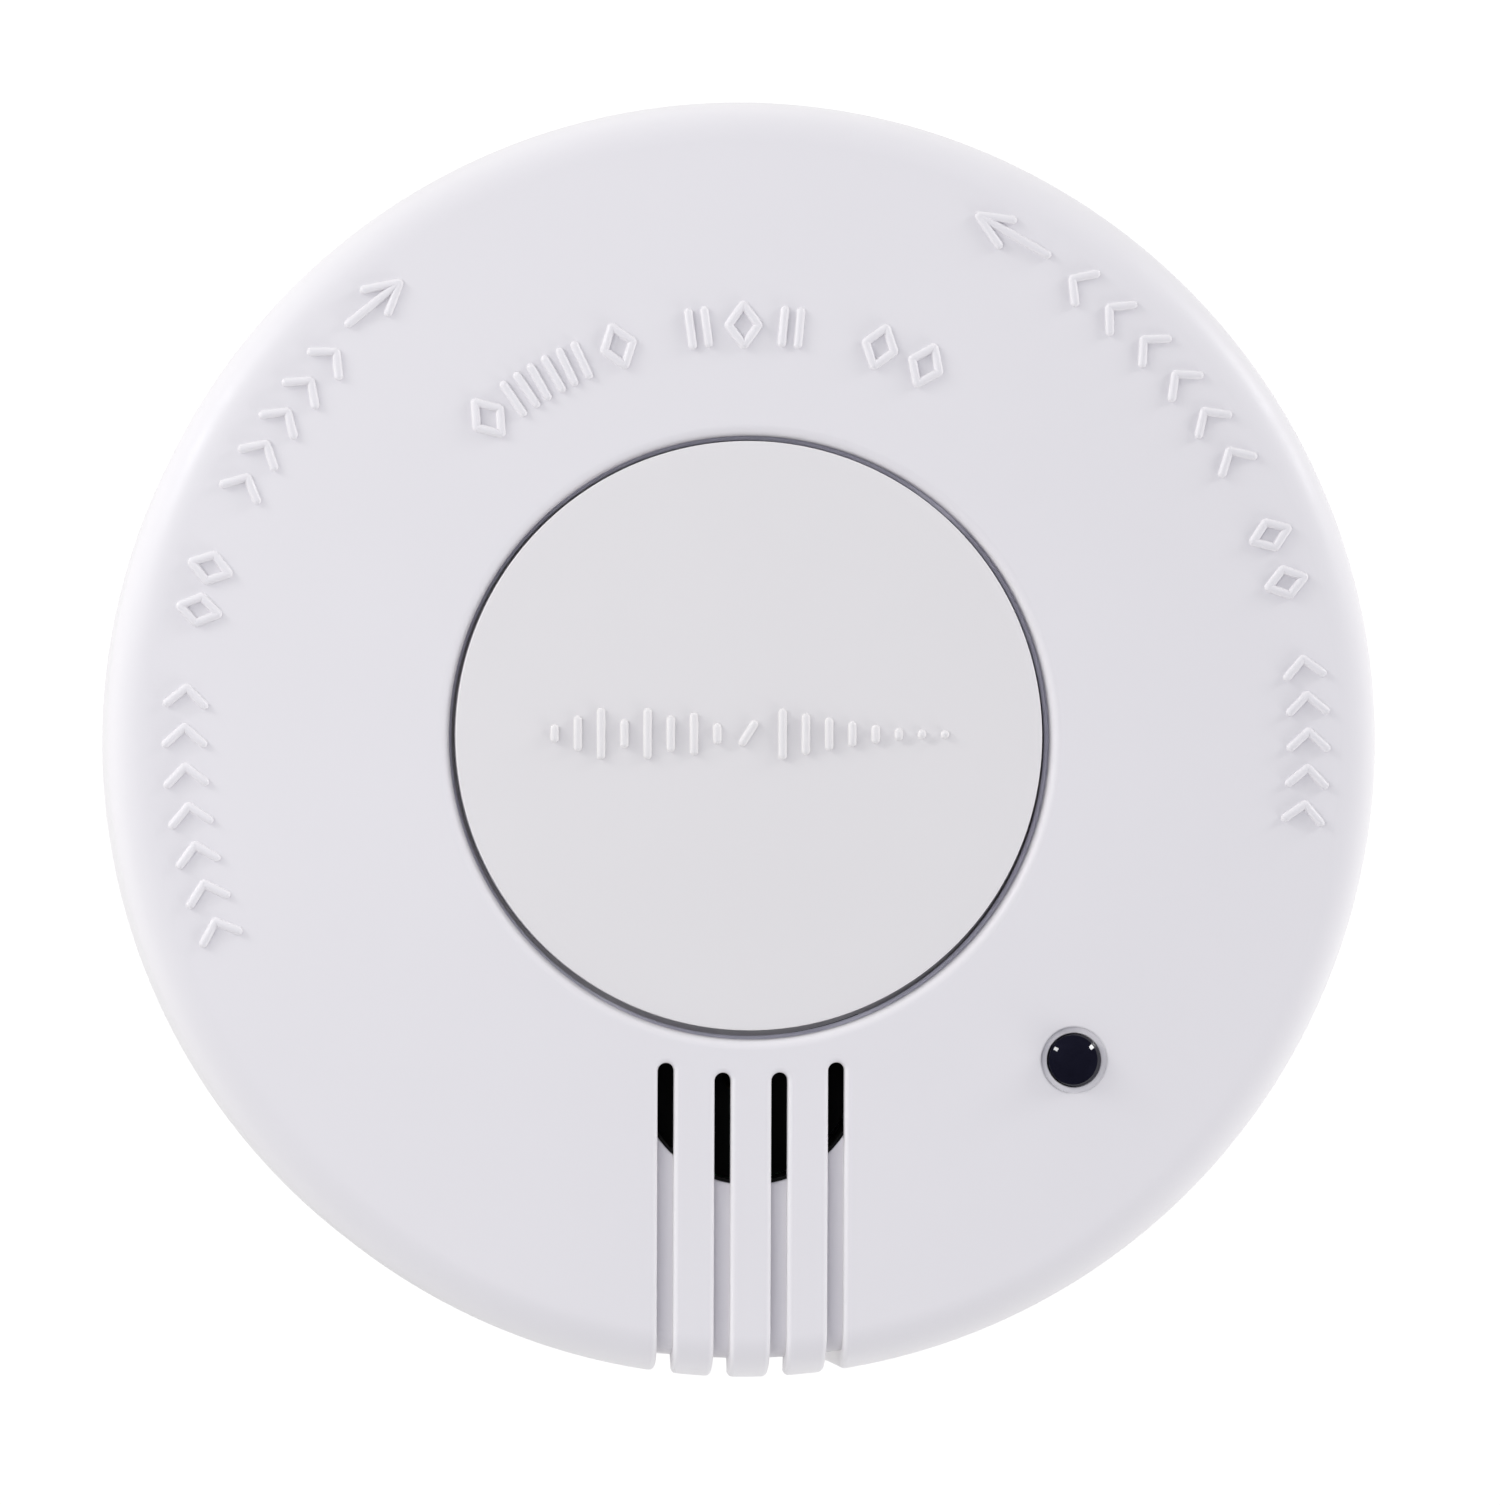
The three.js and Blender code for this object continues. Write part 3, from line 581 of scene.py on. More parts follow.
# ---------------------------------------------------------------- materials
class Nodes:
    """A material's node tree, with a Principled shader to feed."""

    def __init__(self, name):
        self.material = bpy.data.materials.new(name)
        self.material.use_nodes = True
        self.tree = self.material.node_tree
        self.shader = self.tree.nodes["Principled BSDF"]
        self.place = self.add("ShaderNodeTexCoord").outputs["Object"]

    def add(self, kind, inputs=None, **settings):
        """A new node, its inputs linked to sockets or given values."""
        node = self.tree.nodes.new(kind)
        for key, value in settings.items():
            setattr(node, key, value)
        for key, value in (inputs or {}).items():
            if isinstance(value, bpy.types.NodeSocket):
                self.tree.links.new(value, node.inputs[key])
            else:
                node.inputs[key].default_value = value
        return node

    def noise(self, per_mm, detail=3, roughness=0.55, stretch=None):
        """Noise in the object's own space."""
        place = self.place
        if stretch:
            mapped = self.add("ShaderNodeMapping", {"Vector": place, "Scale": stretch})
            place = mapped.outputs["Vector"]
        settings = {"Scale": per_mm / MM, "Detail": detail, "Roughness": roughness}
        return self.add("ShaderNodeTexNoise", {"Vector": place, **settings}).outputs["Fac"]

    def spread(self, value, low, high, start=0.3, end=0.7):
        """The stretch of a value from start to end, mapped to low and high."""
        limits = {"From Min": start, "From Max": end, "To Min": low, "To Max": high}
        return self.add("ShaderNodeMapRange", {"Value": value, **limits}).outputs["Result"]

    def blend(self, share, first, second):
        """A mix of two colours."""
        made = self.add("ShaderNodeMix", {"Factor": share}, data_type="RGBA")
        for name, value in (("A", first), ("B", second)):
            target = next(i for i in made.inputs if i.name == name and i.type == "RGBA")
            if isinstance(value, bpy.types.NodeSocket):
                self.tree.links.new(value, target)
            else:
                target.default_value = (*value, 1)
        return next(o for o in made.outputs if o.type == "RGBA")

    def feed(self, **sockets):
        """Link or set the shader's inputs, whose names have a space for each _."""
        for key, value in sockets.items():
            socket = self.shader.inputs[key.replace("_", " ")]
            if isinstance(value, bpy.types.NodeSocket):
                self.tree.links.new(value, socket)
            else:
                socket.default_value = value

    def bump(self, height, distance_mm, strength=1.0):
        """Bumps of a height in millimetres on the shader."""
        settings = {"Height": height, "Distance": distance_mm * MM, "Strength": strength}
        made = self.add("ShaderNodeBump", settings)
        self.tree.links.new(made.outputs["Normal"], self.shader.inputs["Normal"])


def plastic(name, color, roughness, spread=0.05, grain=0.004):
    """Moulded plastic: a fine spark-eroded grain, faint flow marks and slightly uneven gloss."""
    nodes = Nodes(name)
    darker = tuple(c * 0.985 for c in color)
    nodes.feed(
        Base_Color=nodes.blend(nodes.spread(nodes.noise(0.03, 2), 0, 1), darker, color),
        Roughness=nodes.spread(nodes.noise(0.4), roughness - spread, roughness + spread),
        Specular_IOR_Level=0.4,
    )
    nodes.bump(nodes.noise(5.0, 2), grain)
    return nodes.material


def metal(name, color, roughness, scratch=0.5):
    """Plated or rolled metal: fine streaks in its gloss, faint stains and shallow scratches."""
    nodes = Nodes(name)
    streak = nodes.noise(4.0, 4, stretch=(1, 0.08, 1))
    dull = tuple(c * 0.86 for c in color)
    nodes.feed(
        Base_Color=nodes.blend(nodes.spread(nodes.noise(0.25), 0, 1), dull, color),
        Metallic=1.0,
        Roughness=nodes.spread(streak, roughness * 0.7, roughness * 1.3),
    )
    nodes.bump(streak, 0.004, scratch)
    return nodes.material


def polished(name, deep, pale, clarity=0.0):
    """Polished acrylic or epoxy with a faint bloom and fine wipe marks."""
    nodes = Nodes(name)
    haze = nodes.noise(0.5)
    nodes.feed(
        Base_Color=nodes.blend(nodes.spread(haze, 0, 1), deep, pale),
        Roughness=nodes.spread(haze, 0.03, 0.08),
        Specular_IOR_Level=0.5,
        Transmission_Weight=clarity,
    )
    nodes.bump(nodes.noise(3.0, 2), 0.001)
    return nodes.material


def laminate():
    """Green solder resist over woven glass and copper tracks."""
    nodes = Nodes("board_laminate")
    weave = nodes.add(
        "ShaderNodeTexBrick",
        {"Vector": nodes.place, "Scale": 0.9 / MM, "Mortar Size": 0.06, "Bias": 0.0},
    ).outputs["Fac"]
    tracks = nodes.noise(0.35, 0, 0.0, stretch=(1, 0.25, 1))
    copper = nodes.spread(tracks, 0, 1, 0.52, 0.53)
    nodes.feed(
        Base_Color=nodes.blend(copper, (0.010, 0.10, 0.035), (0.022, 0.17, 0.055)),
        Roughness=nodes.spread(nodes.noise(0.6), 0.28, 0.42),
        Specular_IOR_Level=0.6,
    )
    nodes.bump(weave, 0.01, 0.4)
    return nodes.material


HOUSING = plastic("housing_plastic", (0.84, 0.824, 0.838), 0.42)
# Painted shade: the collar and ledge get a bluish, slightly darker tint that stands for the blue
# shade in the gap round the button.
COLLAR_PAINTED_SHADE = plastic("collar_painted_shade", (0.80, 0.795, 0.88), 0.45)
BUTTON_PLASTIC = plastic("button_plastic", (0.822, 0.806, 0.804), 0.42)
BLACK = plastic("black_plastic", (0.006, 0.006, 0.006), 0.55, grain=0.006)
FOAM = plastic("gasket_foam", (0.004, 0.004, 0.004), 0.9, grain=0.03)
# Painted shade: the lens is near-black to stand for the dark, shaded cavity seen through a clear
# lens.
LENS_PAINTED_SHADE = polished("lens_painted_shade", (0.007, 0.007, 0.014), (0.011, 0.011, 0.021))
CLEAR = polished("clear_epoxy", (0.78, 0.80, 0.84), (0.85, 0.87, 0.9), 0.7)
LAMINATE = laminate()
BRASS = metal("nickel_plated_brass", (0.72, 0.60, 0.36), 0.3)
# Painted shade: the piezo disc is near-black instead of brass, so the sounder pocket reads as deep
# shade.
DISC_PAINTED_SHADE = metal("piezo_disc_painted_shade", (0.08, 0.07, 0.05), 0.5)
STEEL = metal("zinc_plated_steel", (0.62, 0.63, 0.64), 0.32)
JACKET = metal("battery_jacket", (0.16, 0.18, 0.21), 0.36, 0.3)
RED = plastic("red_insulation", (0.42, 0.015, 0.02), 0.42, grain=0.01)
FERRITE = plastic("ferrite", (0.028, 0.026, 0.024), 0.75, grain=0.03)
SLEEVE = plastic("capacitor_sleeve", (0.012, 0.030, 0.075), 0.3, grain=0.003)
RESISTOR = plastic("resistor_coat", (0.60, 0.42, 0.22), 0.4, grain=0.01)

for material, names in {
    BLACK: (
        "stem_guide sounder_body chamber_base chamber_cap test_switch_body snap_cover "
        "battery_wire_black microcontroller transistor test_switch_plunger"
    ),
    CLEAR: "indicator_led ir_emitter photodiode",
    LAMINATE: "circuit_board",
    # The piezo disc takes the painted shade colour of the sounder pocket.
    DISC_PAINTED_SHADE: "piezo_disc",
    BRASS: (
        "sounder_contact_1 sounder_contact_2 sounder_contact_3 battery_terminal_positive "
        "battery_terminal_negative snap_positive snap_negative"
    ),
    STEEL: (
        "insect_screen housing_screw_1 housing_screw_2 housing_screw_3 "
        "board_screw_1 board_screw_2 board_screw_3"
    ),
    JACKET: "battery",
    RED: "battery_wire_red",
    FERRITE: "inductor",
    SLEEVE: "capacitor_large capacitor_small",
    RESISTOR: "resistor_1 resistor_2 resistor_3 resistor_4",
}.items():
    for name in names.split():
        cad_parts[name].data.materials.clear()
        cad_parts[name].data.materials.append(material)

# ---------------------------------------------------------------- camera
CAMERA_TILT = (-5.7, -1.34)
CAMERA_DISTANCE = 600.0
CAMERA_TARGET = (0.0, 0.0, 25.0)
SENSOR_WIDTH = 36.0
FOCAL_LENGTH = 151.989

camera_data = bpy.data.cameras.new("camera")
camera = bpy.data.objects.new("camera", camera_data)
bpy.context.scene.collection.objects.link(camera)
bpy.context.scene.camera = camera
away = Vector([math.tan(math.radians(t)) for t in CAMERA_TILT] + [1.0]).normalized()
camera.location = (Vector(CAMERA_TARGET) + away * CAMERA_DISTANCE) * MM
right = Vector((0, 1, 0)).cross(away).normalized()
camera.rotation_mode = "QUATERNION"
camera.rotation_quaternion = Matrix((right, away.cross(right), away)).transposed().to_quaternion()
camera_data.sensor_width = SENSOR_WIDTH
camera_data.lens = FOCAL_LENGTH
camera_data.shift_x = 0.00625
camera_data.shift_y = -0.00857
camera_data.clip_start = 10 * MM
camera_data.clip_end = 20

# ---------------------------------------------------------------- front cover
cover = shell(
    [
        (SLOT_FILLET, cover_outline),
        (HOLE_FILLET, lambda inset: circle(HOLE_R + inset, count=240, clockwise=True)),
        (LENS_FILLET, lambda inset: circle(LENS_HOLE_R + inset, LENS, 72, clockwise=True)),
    ],
    cover_fill(),
    cover_top,
    cover_under,
    steps=6,
)
SKIN_UNDER_Z = FACE_Z - SKIN_FACE
collar = lathe(
    [
        (LEDGE_R, LEDGE_Z - LEDGE_THICK),
        (LEDGE_R, LEDGE_Z - LEDGE_EDGE),
        (LEDGE_R + LEDGE_EDGE, LEDGE_Z),
        (HOLE_R - 0.02, LEDGE_Z),
        (HOLE_R - 0.02, SKIN_UNDER_Z + 0.2),
        (COLLAR_OUTER_R, SKIN_UNDER_Z + 0.05),
        (COLLAR_OUTER_R, COLLAR_Z),
        (COLLAR_INNER_R, COLLAR_Z),
        (COLLAR_INNER_R, LEDGE_Z - LEDGE_THICK),
    ],
    240,
)

LENS_FACE_Z = face_z(*LENS)
LENS_SEAT_Z = LENS_FACE_Z - SKIN_FACE + 0.1
lens_seat = lathe(
    [
        (LENS_SEAT_R, LENS_SEAT_Z),
        (LENS_HOLE_R + 0.3, LENS_SEAT_Z),
        (LENS_HOLE_R + 0.3, LENS_FACE_Z - LENS_SEAT_DROP),
        (LENS_SEAT_R + 0.08, LENS_FACE_Z - LENS_SEAT_DROP),
        (LENS_SEAT_R, LENS_FACE_Z - LENS_SEAT_DROP - 0.1),
    ],
    72,
    LENS,
)


def slot_floor():
    """The web behind the slots and the recess, its inner end cut round the sounder."""
    low = rho_at(WEB_LOW_Z)

    def outline(inset):
        x = WEB_HALF_WIDTH - inset
        edge = low - inset
        start = WEB_START_RHO + inset
        rim = POCKET_R + inset
        left = [unrolled(-x, edge + (start - edge) * k / 30) for k in range(31)]
        turns = [math.pi + math.pi * k / 40 for k in range(41)]
        mouth = [(SOUNDER[0] + rim * math.cos(t), SOUNDER[1] + rim * math.sin(t)) for t in turns]
        right = [unrolled(x, start + (edge - start) * k / 30) for k in range(31)]
        bottom = [unrolled(x - 2 * x * k / 16, edge) for k in range(1, 16)]
        return (left + mouth + right + bottom)[::-1]

    def top(points):
        return cover_top(points, skin_depth(points) + WEB_GAP, keep_x=True)

    def under(points):
        depth = skin_depth(points) + WEB_GAP + WEB_THICK
        place, normal = cover_top(points, depth, keep_x=True)
        return place, -normal

    rows = [
        *np.arange(32.5, RHO_SHOULDER, 1.6),
        *np.linspace(RHO_SHOULDER, RHO_WALL, 17),
        *np.linspace(RHO_WALL, low, 8)[1:-1],
    ]
    columns = np.linspace(-WEB_HALF_WIDTH, WEB_HALF_WIDTH, 19)[1:-1]
    fill = [unrolled(x, rho) for x in columns for rho in rows]
    return shell([(0.12, outline)], fill, top, under, steps=3)


# The arc of the sounder's pocket that lies outside the button's collar.
BESIDE_COLLAR = (-196, 16, SOUNDER, 60)
WALL_R = POCKET_R + 0.1
sounder_wall = slab(
    [(0.12, sector(WALL_R, WALL_R + POCKET_WALL, *BESIDE_COLLAR))],
    POCKET_LOW_Z,
    SKIN_UNDER_Z - 1,
)
GASKET_R = POCKET_R - 0.03
gasket_strip = slab(
    [(0.1, sector(GASKET_R - GASKET_THICK, GASKET_R, *BESIDE_COLLAR))],
    SOUNDER_HIGH[2] + 0.05,
    SKIN_UNDER_Z - 0.32,
)


MARK_WIDTH = 0.8
MARK_HEIGHT = 0.48


def joined(start, end):
    """A stroke's two ends, moved on a little so that it overlaps a neighbour that meets its end."""
    start, end = np.array(start), np.array(end)
    ahead = (end - start) / np.linalg.norm(end - start) * MARK_WIDTH * 0.42
    return start, end + ahead


def cover_strokes():
    """Plain moulded marks: turning arrows with rows of chevrons, and rows of bars and lozenges."""
    paths = []
    turning = [
        (52.43, -1, [*np.linspace(138.3, 153.9, 5), *np.linspace(176.1, 200, 7)], [162.8, 167.2]),
        (52.53, 1, [*np.linspace(53.9, 29.9, 6), *np.linspace(7.2, -7.7, 5)], [21.3, 16.2]),
    ]
    for r, way, chevrons, lozenges in turning:
        for degrees in chevrons:
            for out in (-2.0, 2.0):
                tip = around(r, degrees, way * 0.9)
                paths.append(joined(around(r, degrees, -way * 0.9, out), tip))
        for degrees in lozenges:
            paths += lozenge(r, degrees, 1.25, 1.8)
    for tail, tip, barbs in (
        ((-37.7, 37.9), (-32.7, 42.0), ((-36.36, 41.23), (-33.86, 38.85))),
        ((28.2, 45.0), (21.4, 48.8), ((25.01, 48.36), (23.5, 45.71))),
    ):
        paths += [joined(end, tip) for end in (tail, *barbs)]
    for degrees in (64.8, 71.7, 91.1, 108.9, 129.7):
        paths += lozenge(38.32, degrees, 1.4, 1.9)
    for degrees in (84.4, 97.4, 115.5, 119.9, 124.2):
        for along in (-0.75, 0.75):
            ends = (around(38.32, degrees, along, out) for out in (-1.95, 1.95))
            paths.append(list(ends))
    return [stroke(path, MARK_WIDTH, MARK_HEIGHT, face_z) for path in paths]


def lozenge(r, degrees, half_width, half_height):
    corners = [(half_width, 0), (0, half_height), (-half_width, 0), (0, -half_height)]
    points = [around(r, degrees, *corner) for corner in corners]
    sides = []
    for start, end in zip(points, points[1:] + points[:1]):
        far = joined(start, end)[1]
        sides.append((joined(end, start)[1], far))
    return sides


piece("cover_skin", [cover, lens_seat], HOUSING, "alarm", ["front_cover"], 50)
piece("cover_web", [slot_floor(), sounder_wall], HOUSING, "alarm", (), 50)
# The collar carries the painted bluish shade tint of the gap.
piece("button_collar", [collar], COLLAR_PAINTED_SHADE, "alarm", (), 50)
piece("sounder_gasket", [gasket_strip], FOAM, "alarm", (), 50)
piece("cover_marks", cover_strokes(), HOUSING, "alarm", (), 60)

# ---------------------------------------------------------------- test button
BUTTON_EDGE = 0.14
BUTTON_SHIFT = (-0.15, 0.15)
BUTTON_UNDER_Z = 34.0
BUTTON_WALL = 1.6
BUTTON_SKIRT_Z = COLLAR_Z - 0.2
CROWN = 0.25


def button_z(x, y):
    """The height of the button's crowned top."""
    share = math.hypot(x - BUTTON_SHIFT[0], y - BUTTON_SHIFT[1]) / BUTTON_R
    return FACE_Z + CROWN * (1 - share**2)


button_profile = [
    (0, BUTTON_UNDER_Z),
    (BUTTON_R - BUTTON_WALL, BUTTON_UNDER_Z),
    (BUTTON_R - BUTTON_WALL, BUTTON_SKIRT_Z),
    (BUTTON_STEP_R, BUTTON_SKIRT_Z),
    (BUTTON_STEP_R, BUTTON_STEP_Z),
    (BUTTON_R, BUTTON_STEP_Z),
]
for n in range(6):
    turn = math.pi / 2 * n / 5
    r = BUTTON_R - BUTTON_EDGE * (1 - math.cos(turn))
    button_profile.append((r, FACE_Z - BUTTON_EDGE * (1 - math.sin(turn))))
for n in range(1, 25):
    share = n / 24
    r = (BUTTON_R - BUTTON_EDGE) * (1 - share)
    button_profile.append((r, FACE_Z + CROWN * (1 - (1 - share) ** 2)))
button_profile[-1] = (0, FACE_Z + CROWN)


BAR_ROW_Y = 0.27
BAR_WIDTH = 0.78


def button_strokes():
    """A slash between bars that rise and fall on the left and die away to dots on the right."""
    rows = [
        (np.linspace(-18.35, -3.25, 8), (1.7, 3.3, 4.8, 2.7, 4.8, 3.4, 4.0, 2.0)),
        (np.linspace(2.85, 18.05, 8), (4.8, 3.9, 3.1, 2.4, 1.8, 1.2, 0.9, 0.8)),
    ]
    shortest = 0.8
    paths = [[(-1.09, -0.83), (0.4, 1.5)]]
    for xs, lengths in rows:
        for x, length in zip(xs, lengths):
            half = max(length, shortest) / 2
            paths.append([(x, BAR_ROW_Y - half), (x, BAR_ROW_Y + half)])
    return [stroke(path, BAR_WIDTH, MARK_HEIGHT, button_z) for path in paths]


piece(
    "button_cap",
    [lathe(button_profile, 240, BUTTON_SHIFT), *button_strokes()],
    BUTTON_PLASTIC,
    "button",
    ["test_button"],
    30,
)

# ---------------------------------------------------------------- button's return spring
END_CLOSENESS = 0.085


def coil():
    """A compression spring, its end turns wound closer than the middle ones."""
    wire, turns, steps, sides = 0.3, 6, 216, 10
    coil_r = SPRING_HIGH[0] - wire
    low, high = SPRING_LOW[2] + wire, SPRING_HIGH[2] - wire
    vertices, rings = [], []
    for n in range(steps + 1):
        share = n / steps
        z = low + (high - low) * (share - END_CLOSENESS * math.sin(TAU * share))
        t = TAU * turns * share
        rings.append(list(range(len(vertices), len(vertices) + sides)))
        for k in range(sides):
            a = TAU * k / sides
            r = coil_r + wire * math.cos(a)
            vertices.append((r * math.cos(t), r * math.sin(t), z + wire * math.sin(a)))
    faces = [rings[0], rings[-1][::-1]]
    for near_ring, far_ring in zip(rings, rings[1:]):
        for i in range(sides):
            j = (i + 1) % sides
            faces.append([near_ring[i], far_ring[i], far_ring[j], near_ring[j]])
    return vertices, faces, None


spring = piece("return_spring", [coil()], STEEL, "alarm", ["button_return_spring"], 60)
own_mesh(spring)

# ---------------------------------------------------------------- indicator lens
DOME_Z = 35.4
ROD_R = 2.1
FLANGE_R = 3.8
FLANGE_LOW, FLANGE_HIGH = 31.8, 32.6
lens_profile = [
    (0, LENS_LOW[2]),
    (ROD_R, LENS_LOW[2]),
    (ROD_R, FLANGE_LOW),
    (FLANGE_R, FLANGE_LOW),
    (FLANGE_R, FLANGE_HIGH),
    (LENS_R, FLANGE_HIGH),
    (LENS_R, DOME_Z),
]
DOME_RISE = LENS_HIGH[2] - DOME_Z
DOME_R = (LENS_R**2 + DOME_RISE**2) / (2 * DOME_RISE)
for n in range(1, 21):
    turn = math.asin(LENS_R / DOME_R) * (1 - n / 20)
    lens_profile.append((DOME_R * math.sin(turn), LENS_HIGH[2] - DOME_R * (1 - math.cos(turn))))
lens_profile[-1] = (0, LENS_HIGH[2])
# The lens dome wears the painted shade colour of the cavity behind it.
piece(
    "lens_dome",
    [lathe(lens_profile, 64, LENS)],
    LENS_PAINTED_SHADE,
    "alarm",
    ["light_guide"],
    40,
)

# ---------------------------------------------------------------- base housing
FLOOR_Z = BASE_LOW[2]
FLOOR_TOP = FLOOR_Z + 1.8
BASE_R = BASE_HIGH[0]
RIM_TOP = 8.0
RING_R = (56.4, 57.8)
RING_Z = (12.4, 14.6)
WINDOW_RIBS = 36
WINDOW_RIB_HALF = 0.8
HOOK_ANGLES = (75, 195, 315)
HOOK_HALF = 5.0
TWIST = 15.0
HOOK_R = (47.5, 50.5, 52.5)
HOOK_Z = (6.7, 8.2)
BAY_X, BAY_Y = (12.6, 39.9), (-24.4, 30.6)
BAY_ROOF = 23.2
BAY_WALL = 1.4
BOSS_R = 52.6
BOSSES = [
    (BOSS_R * math.cos(math.radians(angle)), BOSS_R * math.sin(math.radians(angle)))
    for angle in (30, 150, 250)
]
BOSS_TOP = 9.0
STANDOFFS = [(-38, -22), (4, 44), (23, -36.4)]
STANDOFF_TOP = 10.2


def hook_entry(angle):
    """The opening in the floor that a hook enters by and then turns along."""
    inner, post, outer = HOOK_R[0] - 0.4, HOOK_R[1] - 0.3, HOOK_R[2] + 0.3
    half = HOOK_HALF + 0.6
    start, wide_end, end = angle - TWIST - half, angle - TWIST + half, angle + half

    def place(inset):
        def skew(r):
            return math.degrees(inset / r)

        return [
            *arc(outer - inset, start + skew(outer), end - skew(outer), 20),
            *arc(post + inset, end - skew(post), wide_end - skew(post), 12),
            *arc(inner + inset, wide_end - skew(inner), start + skew(inner), 12),
        ]

    return place


def ring(r0, r1, z0, z1, edge=0.3, segments=192, centre=(0, 0)):
    """A turned ring with rounded edges."""
    profile = []
    for r, z, start in ((r1, z0, -90), (r1, z1, 0), (r0, z1, 90), (r0, z0, 180)):
        cr = r - edge if r == r1 else r + edge
        cz = z + edge if z == z0 else z - edge
        for n in range(5):
            t = math.radians(start + 90 * n / 4)
            profile.append((cr + edge * math.cos(t), cz + edge * math.sin(t)))
    return lathe(profile, segments, centre)


def window_rib(n):
    """One of the short ribs that carry the upper ring over the smoke windows."""
    angle = 360 * (n + 0.5) / WINDOW_RIBS
    outline = rib_outline(angle, RING_R[0] + 0.1, RING_R[1] - 0.1, WINDOW_RIB_HALF)
    return slab([(0.2, rounded(outline, 0.3, 3))], RIM_TOP - 0.4, RING_Z[0] + 0.4, 2)


base_floor = slab(
    [
        (0.3, disc(RING_R[0] + 0.6, count=192)),
        (0.3, hole(rounded(rectangle(BAY_X, BAY_Y), 0.8))),
        *((0.3, hole(hook_entry(angle))) for angle in HOOK_ANGLES),
        *((0.3, hole(disc(2.6, boss, 32))) for boss in BOSSES),
    ],
    FLOOR_Z,
    FLOOR_TOP,
)
bay_outer = rectangle(
    (BAY_X[0] - BAY_WALL, BAY_X[1] + BAY_WALL), (BAY_Y[0] - BAY_WALL, BAY_Y[1] + BAY_WALL)
)
base_parts = [
    base_floor,
    ring(RING_R[0], BASE_R, FLOOR_Z, RIM_TOP, 0.45, 240),
    ring(*RING_R, *RING_Z, 0.3, 240),
    *(window_rib(n) for n in range(WINDOW_RIBS)),
    *(ring(1.5, 3.1, FLOOR_TOP - 0.2, BOSS_TOP, 0.15, 32, boss) for boss in BOSSES),
    *(ring(1.4, 2.5, FLOOR_TOP - 0.2, STANDOFF_TOP, 0.15, 24, post) for post in STANDOFFS),
    slab(
        [(0.25, rounded(bay_outer, 1.8)), (0.25, hole(rounded(rectangle(BAY_X, BAY_Y), 0.8)))],
        FLOOR_Z + 0.6,
        BAY_ROOF + 0.8,
    ),
    slab([(0.25, rounded(bay_outer, 1.8))], BAY_ROOF, BAY_ROOF + BAY_WALL),
]
piece("base_shell", base_parts, HOUSING, "alarm", ["base_housing"], 50)

# ---------------------------------------------------------------- mounting plate
PLATE_R = PLATE_HIGH[0]
PLATE_T = 2.0
CENTRE_HOLE_R = 16.0
FIXING_R, FIXING_HALF = 30.0, 2.6
FIXING_TURN = 11
KEYHOLE_HEAD_R, KEYHOLE_NECK_HALF = 4.4, 2.4
KEYHOLE_LENGTH = 7
PLATE_RIB_HALF = 0.6


def curved_slot(angle):
    """A screw slot that lets the plate be turned a little before the screw is tightened."""

    def place(inset):
        half = FIXING_HALF - inset
        low, high = angle - FIXING_TURN, angle + FIXING_TURN
        points = arc(FIXING_R + half, low, high, 12)
        for side in (1, -1):
            centre = np.array(arc(FIXING_R, angle + side * FIXING_TURN, 0, 1)[0])
            turns = np.radians(angle + (0 if side > 0 else 180) + np.linspace(0, 180, 13)[1:-1])
            points += [tuple(centre + half * np.array([math.cos(t), math.sin(t)])) for t in turns]
            if side > 0:
                points += arc(FIXING_R - half, high, low, 12)
        return points

    return place


def keyhole(side):
    """A keyhole with its head towards the plate's middle."""

    def place(inset):
        head, neck = KEYHOLE_HEAD_R - inset, KEYHOLE_NECK_HALF - inset
        bite = math.degrees(math.asin(neck / head))
        turns = np.radians(np.linspace(90 + bite, 450 - bite, 28))
        points = [(head * math.cos(t), head * math.sin(t)) for t in turns]
        turns = np.radians(np.linspace(0, 180, 12))
        points += [(neck * math.cos(t), KEYHOLE_LENGTH + neck * math.sin(t)) for t in turns]
        return [(side * x, side * (y + FIXING_R)) for x, y in points]

    return place


def plate_rib(angle):
    """A straight rib from the ring round the plate's middle hole out to its rim."""
    outline = rib_outline(angle, CENTRE_HOLE_R + 1.0, PLATE_R - 1.7, PLATE_RIB_HALF)
    return slab([(0.25, outline)], PLATE_T - 0.8, PLATE_T + 1.2, 3)


def hook(angle):
    """A hook's post, and the tab on it that reaches inwards over the housing's floor."""
    start, end = angle - HOOK_HALF, angle + HOOK_HALF
    post = slab([(0.25, sector(HOOK_R[1], HOOK_R[2], start, end))], PLATE_T - 0.5, HOOK_Z[1])
    tab = slab([(0.25, sector(HOOK_R[0], HOOK_R[2], start, end))], *HOOK_Z)
    return [post, tab]


plate_parts = [
    slab(
        [
            (0.4, disc(PLATE_R, count=240)),
            (0.4, hole(disc(CENTRE_HOLE_R, count=120))),
            *((0.4, hole(curved_slot(angle))) for angle in (0, 180)),
            *((0.4, hole(keyhole(side))) for side in (1, -1)),
        ],
        PLATE_LOW[2],
        PLATE_T,
        4,
    ),
    ring(PLATE_R - 2, PLATE_R, PLATE_T - 0.8, 4.2, 0.3, 240),
    ring(CENTRE_HOLE_R, CENTRE_HOLE_R + 1.4, PLATE_T - 0.8, PLATE_T + 1.4, 0.3, 120),
    *(plate_rib(angle) for angle in (45, 135, 225, 315)),
    *(part for angle in HOOK_ANGLES for part in hook(angle)),
]
piece("plate_shell", plate_parts, HOUSING, "bracket", ["mounting_plate"], 50)

# ---------------------------------------------------------------- floor and light
scene = bpy.context.scene
scene.view_settings.view_transform = "Standard"


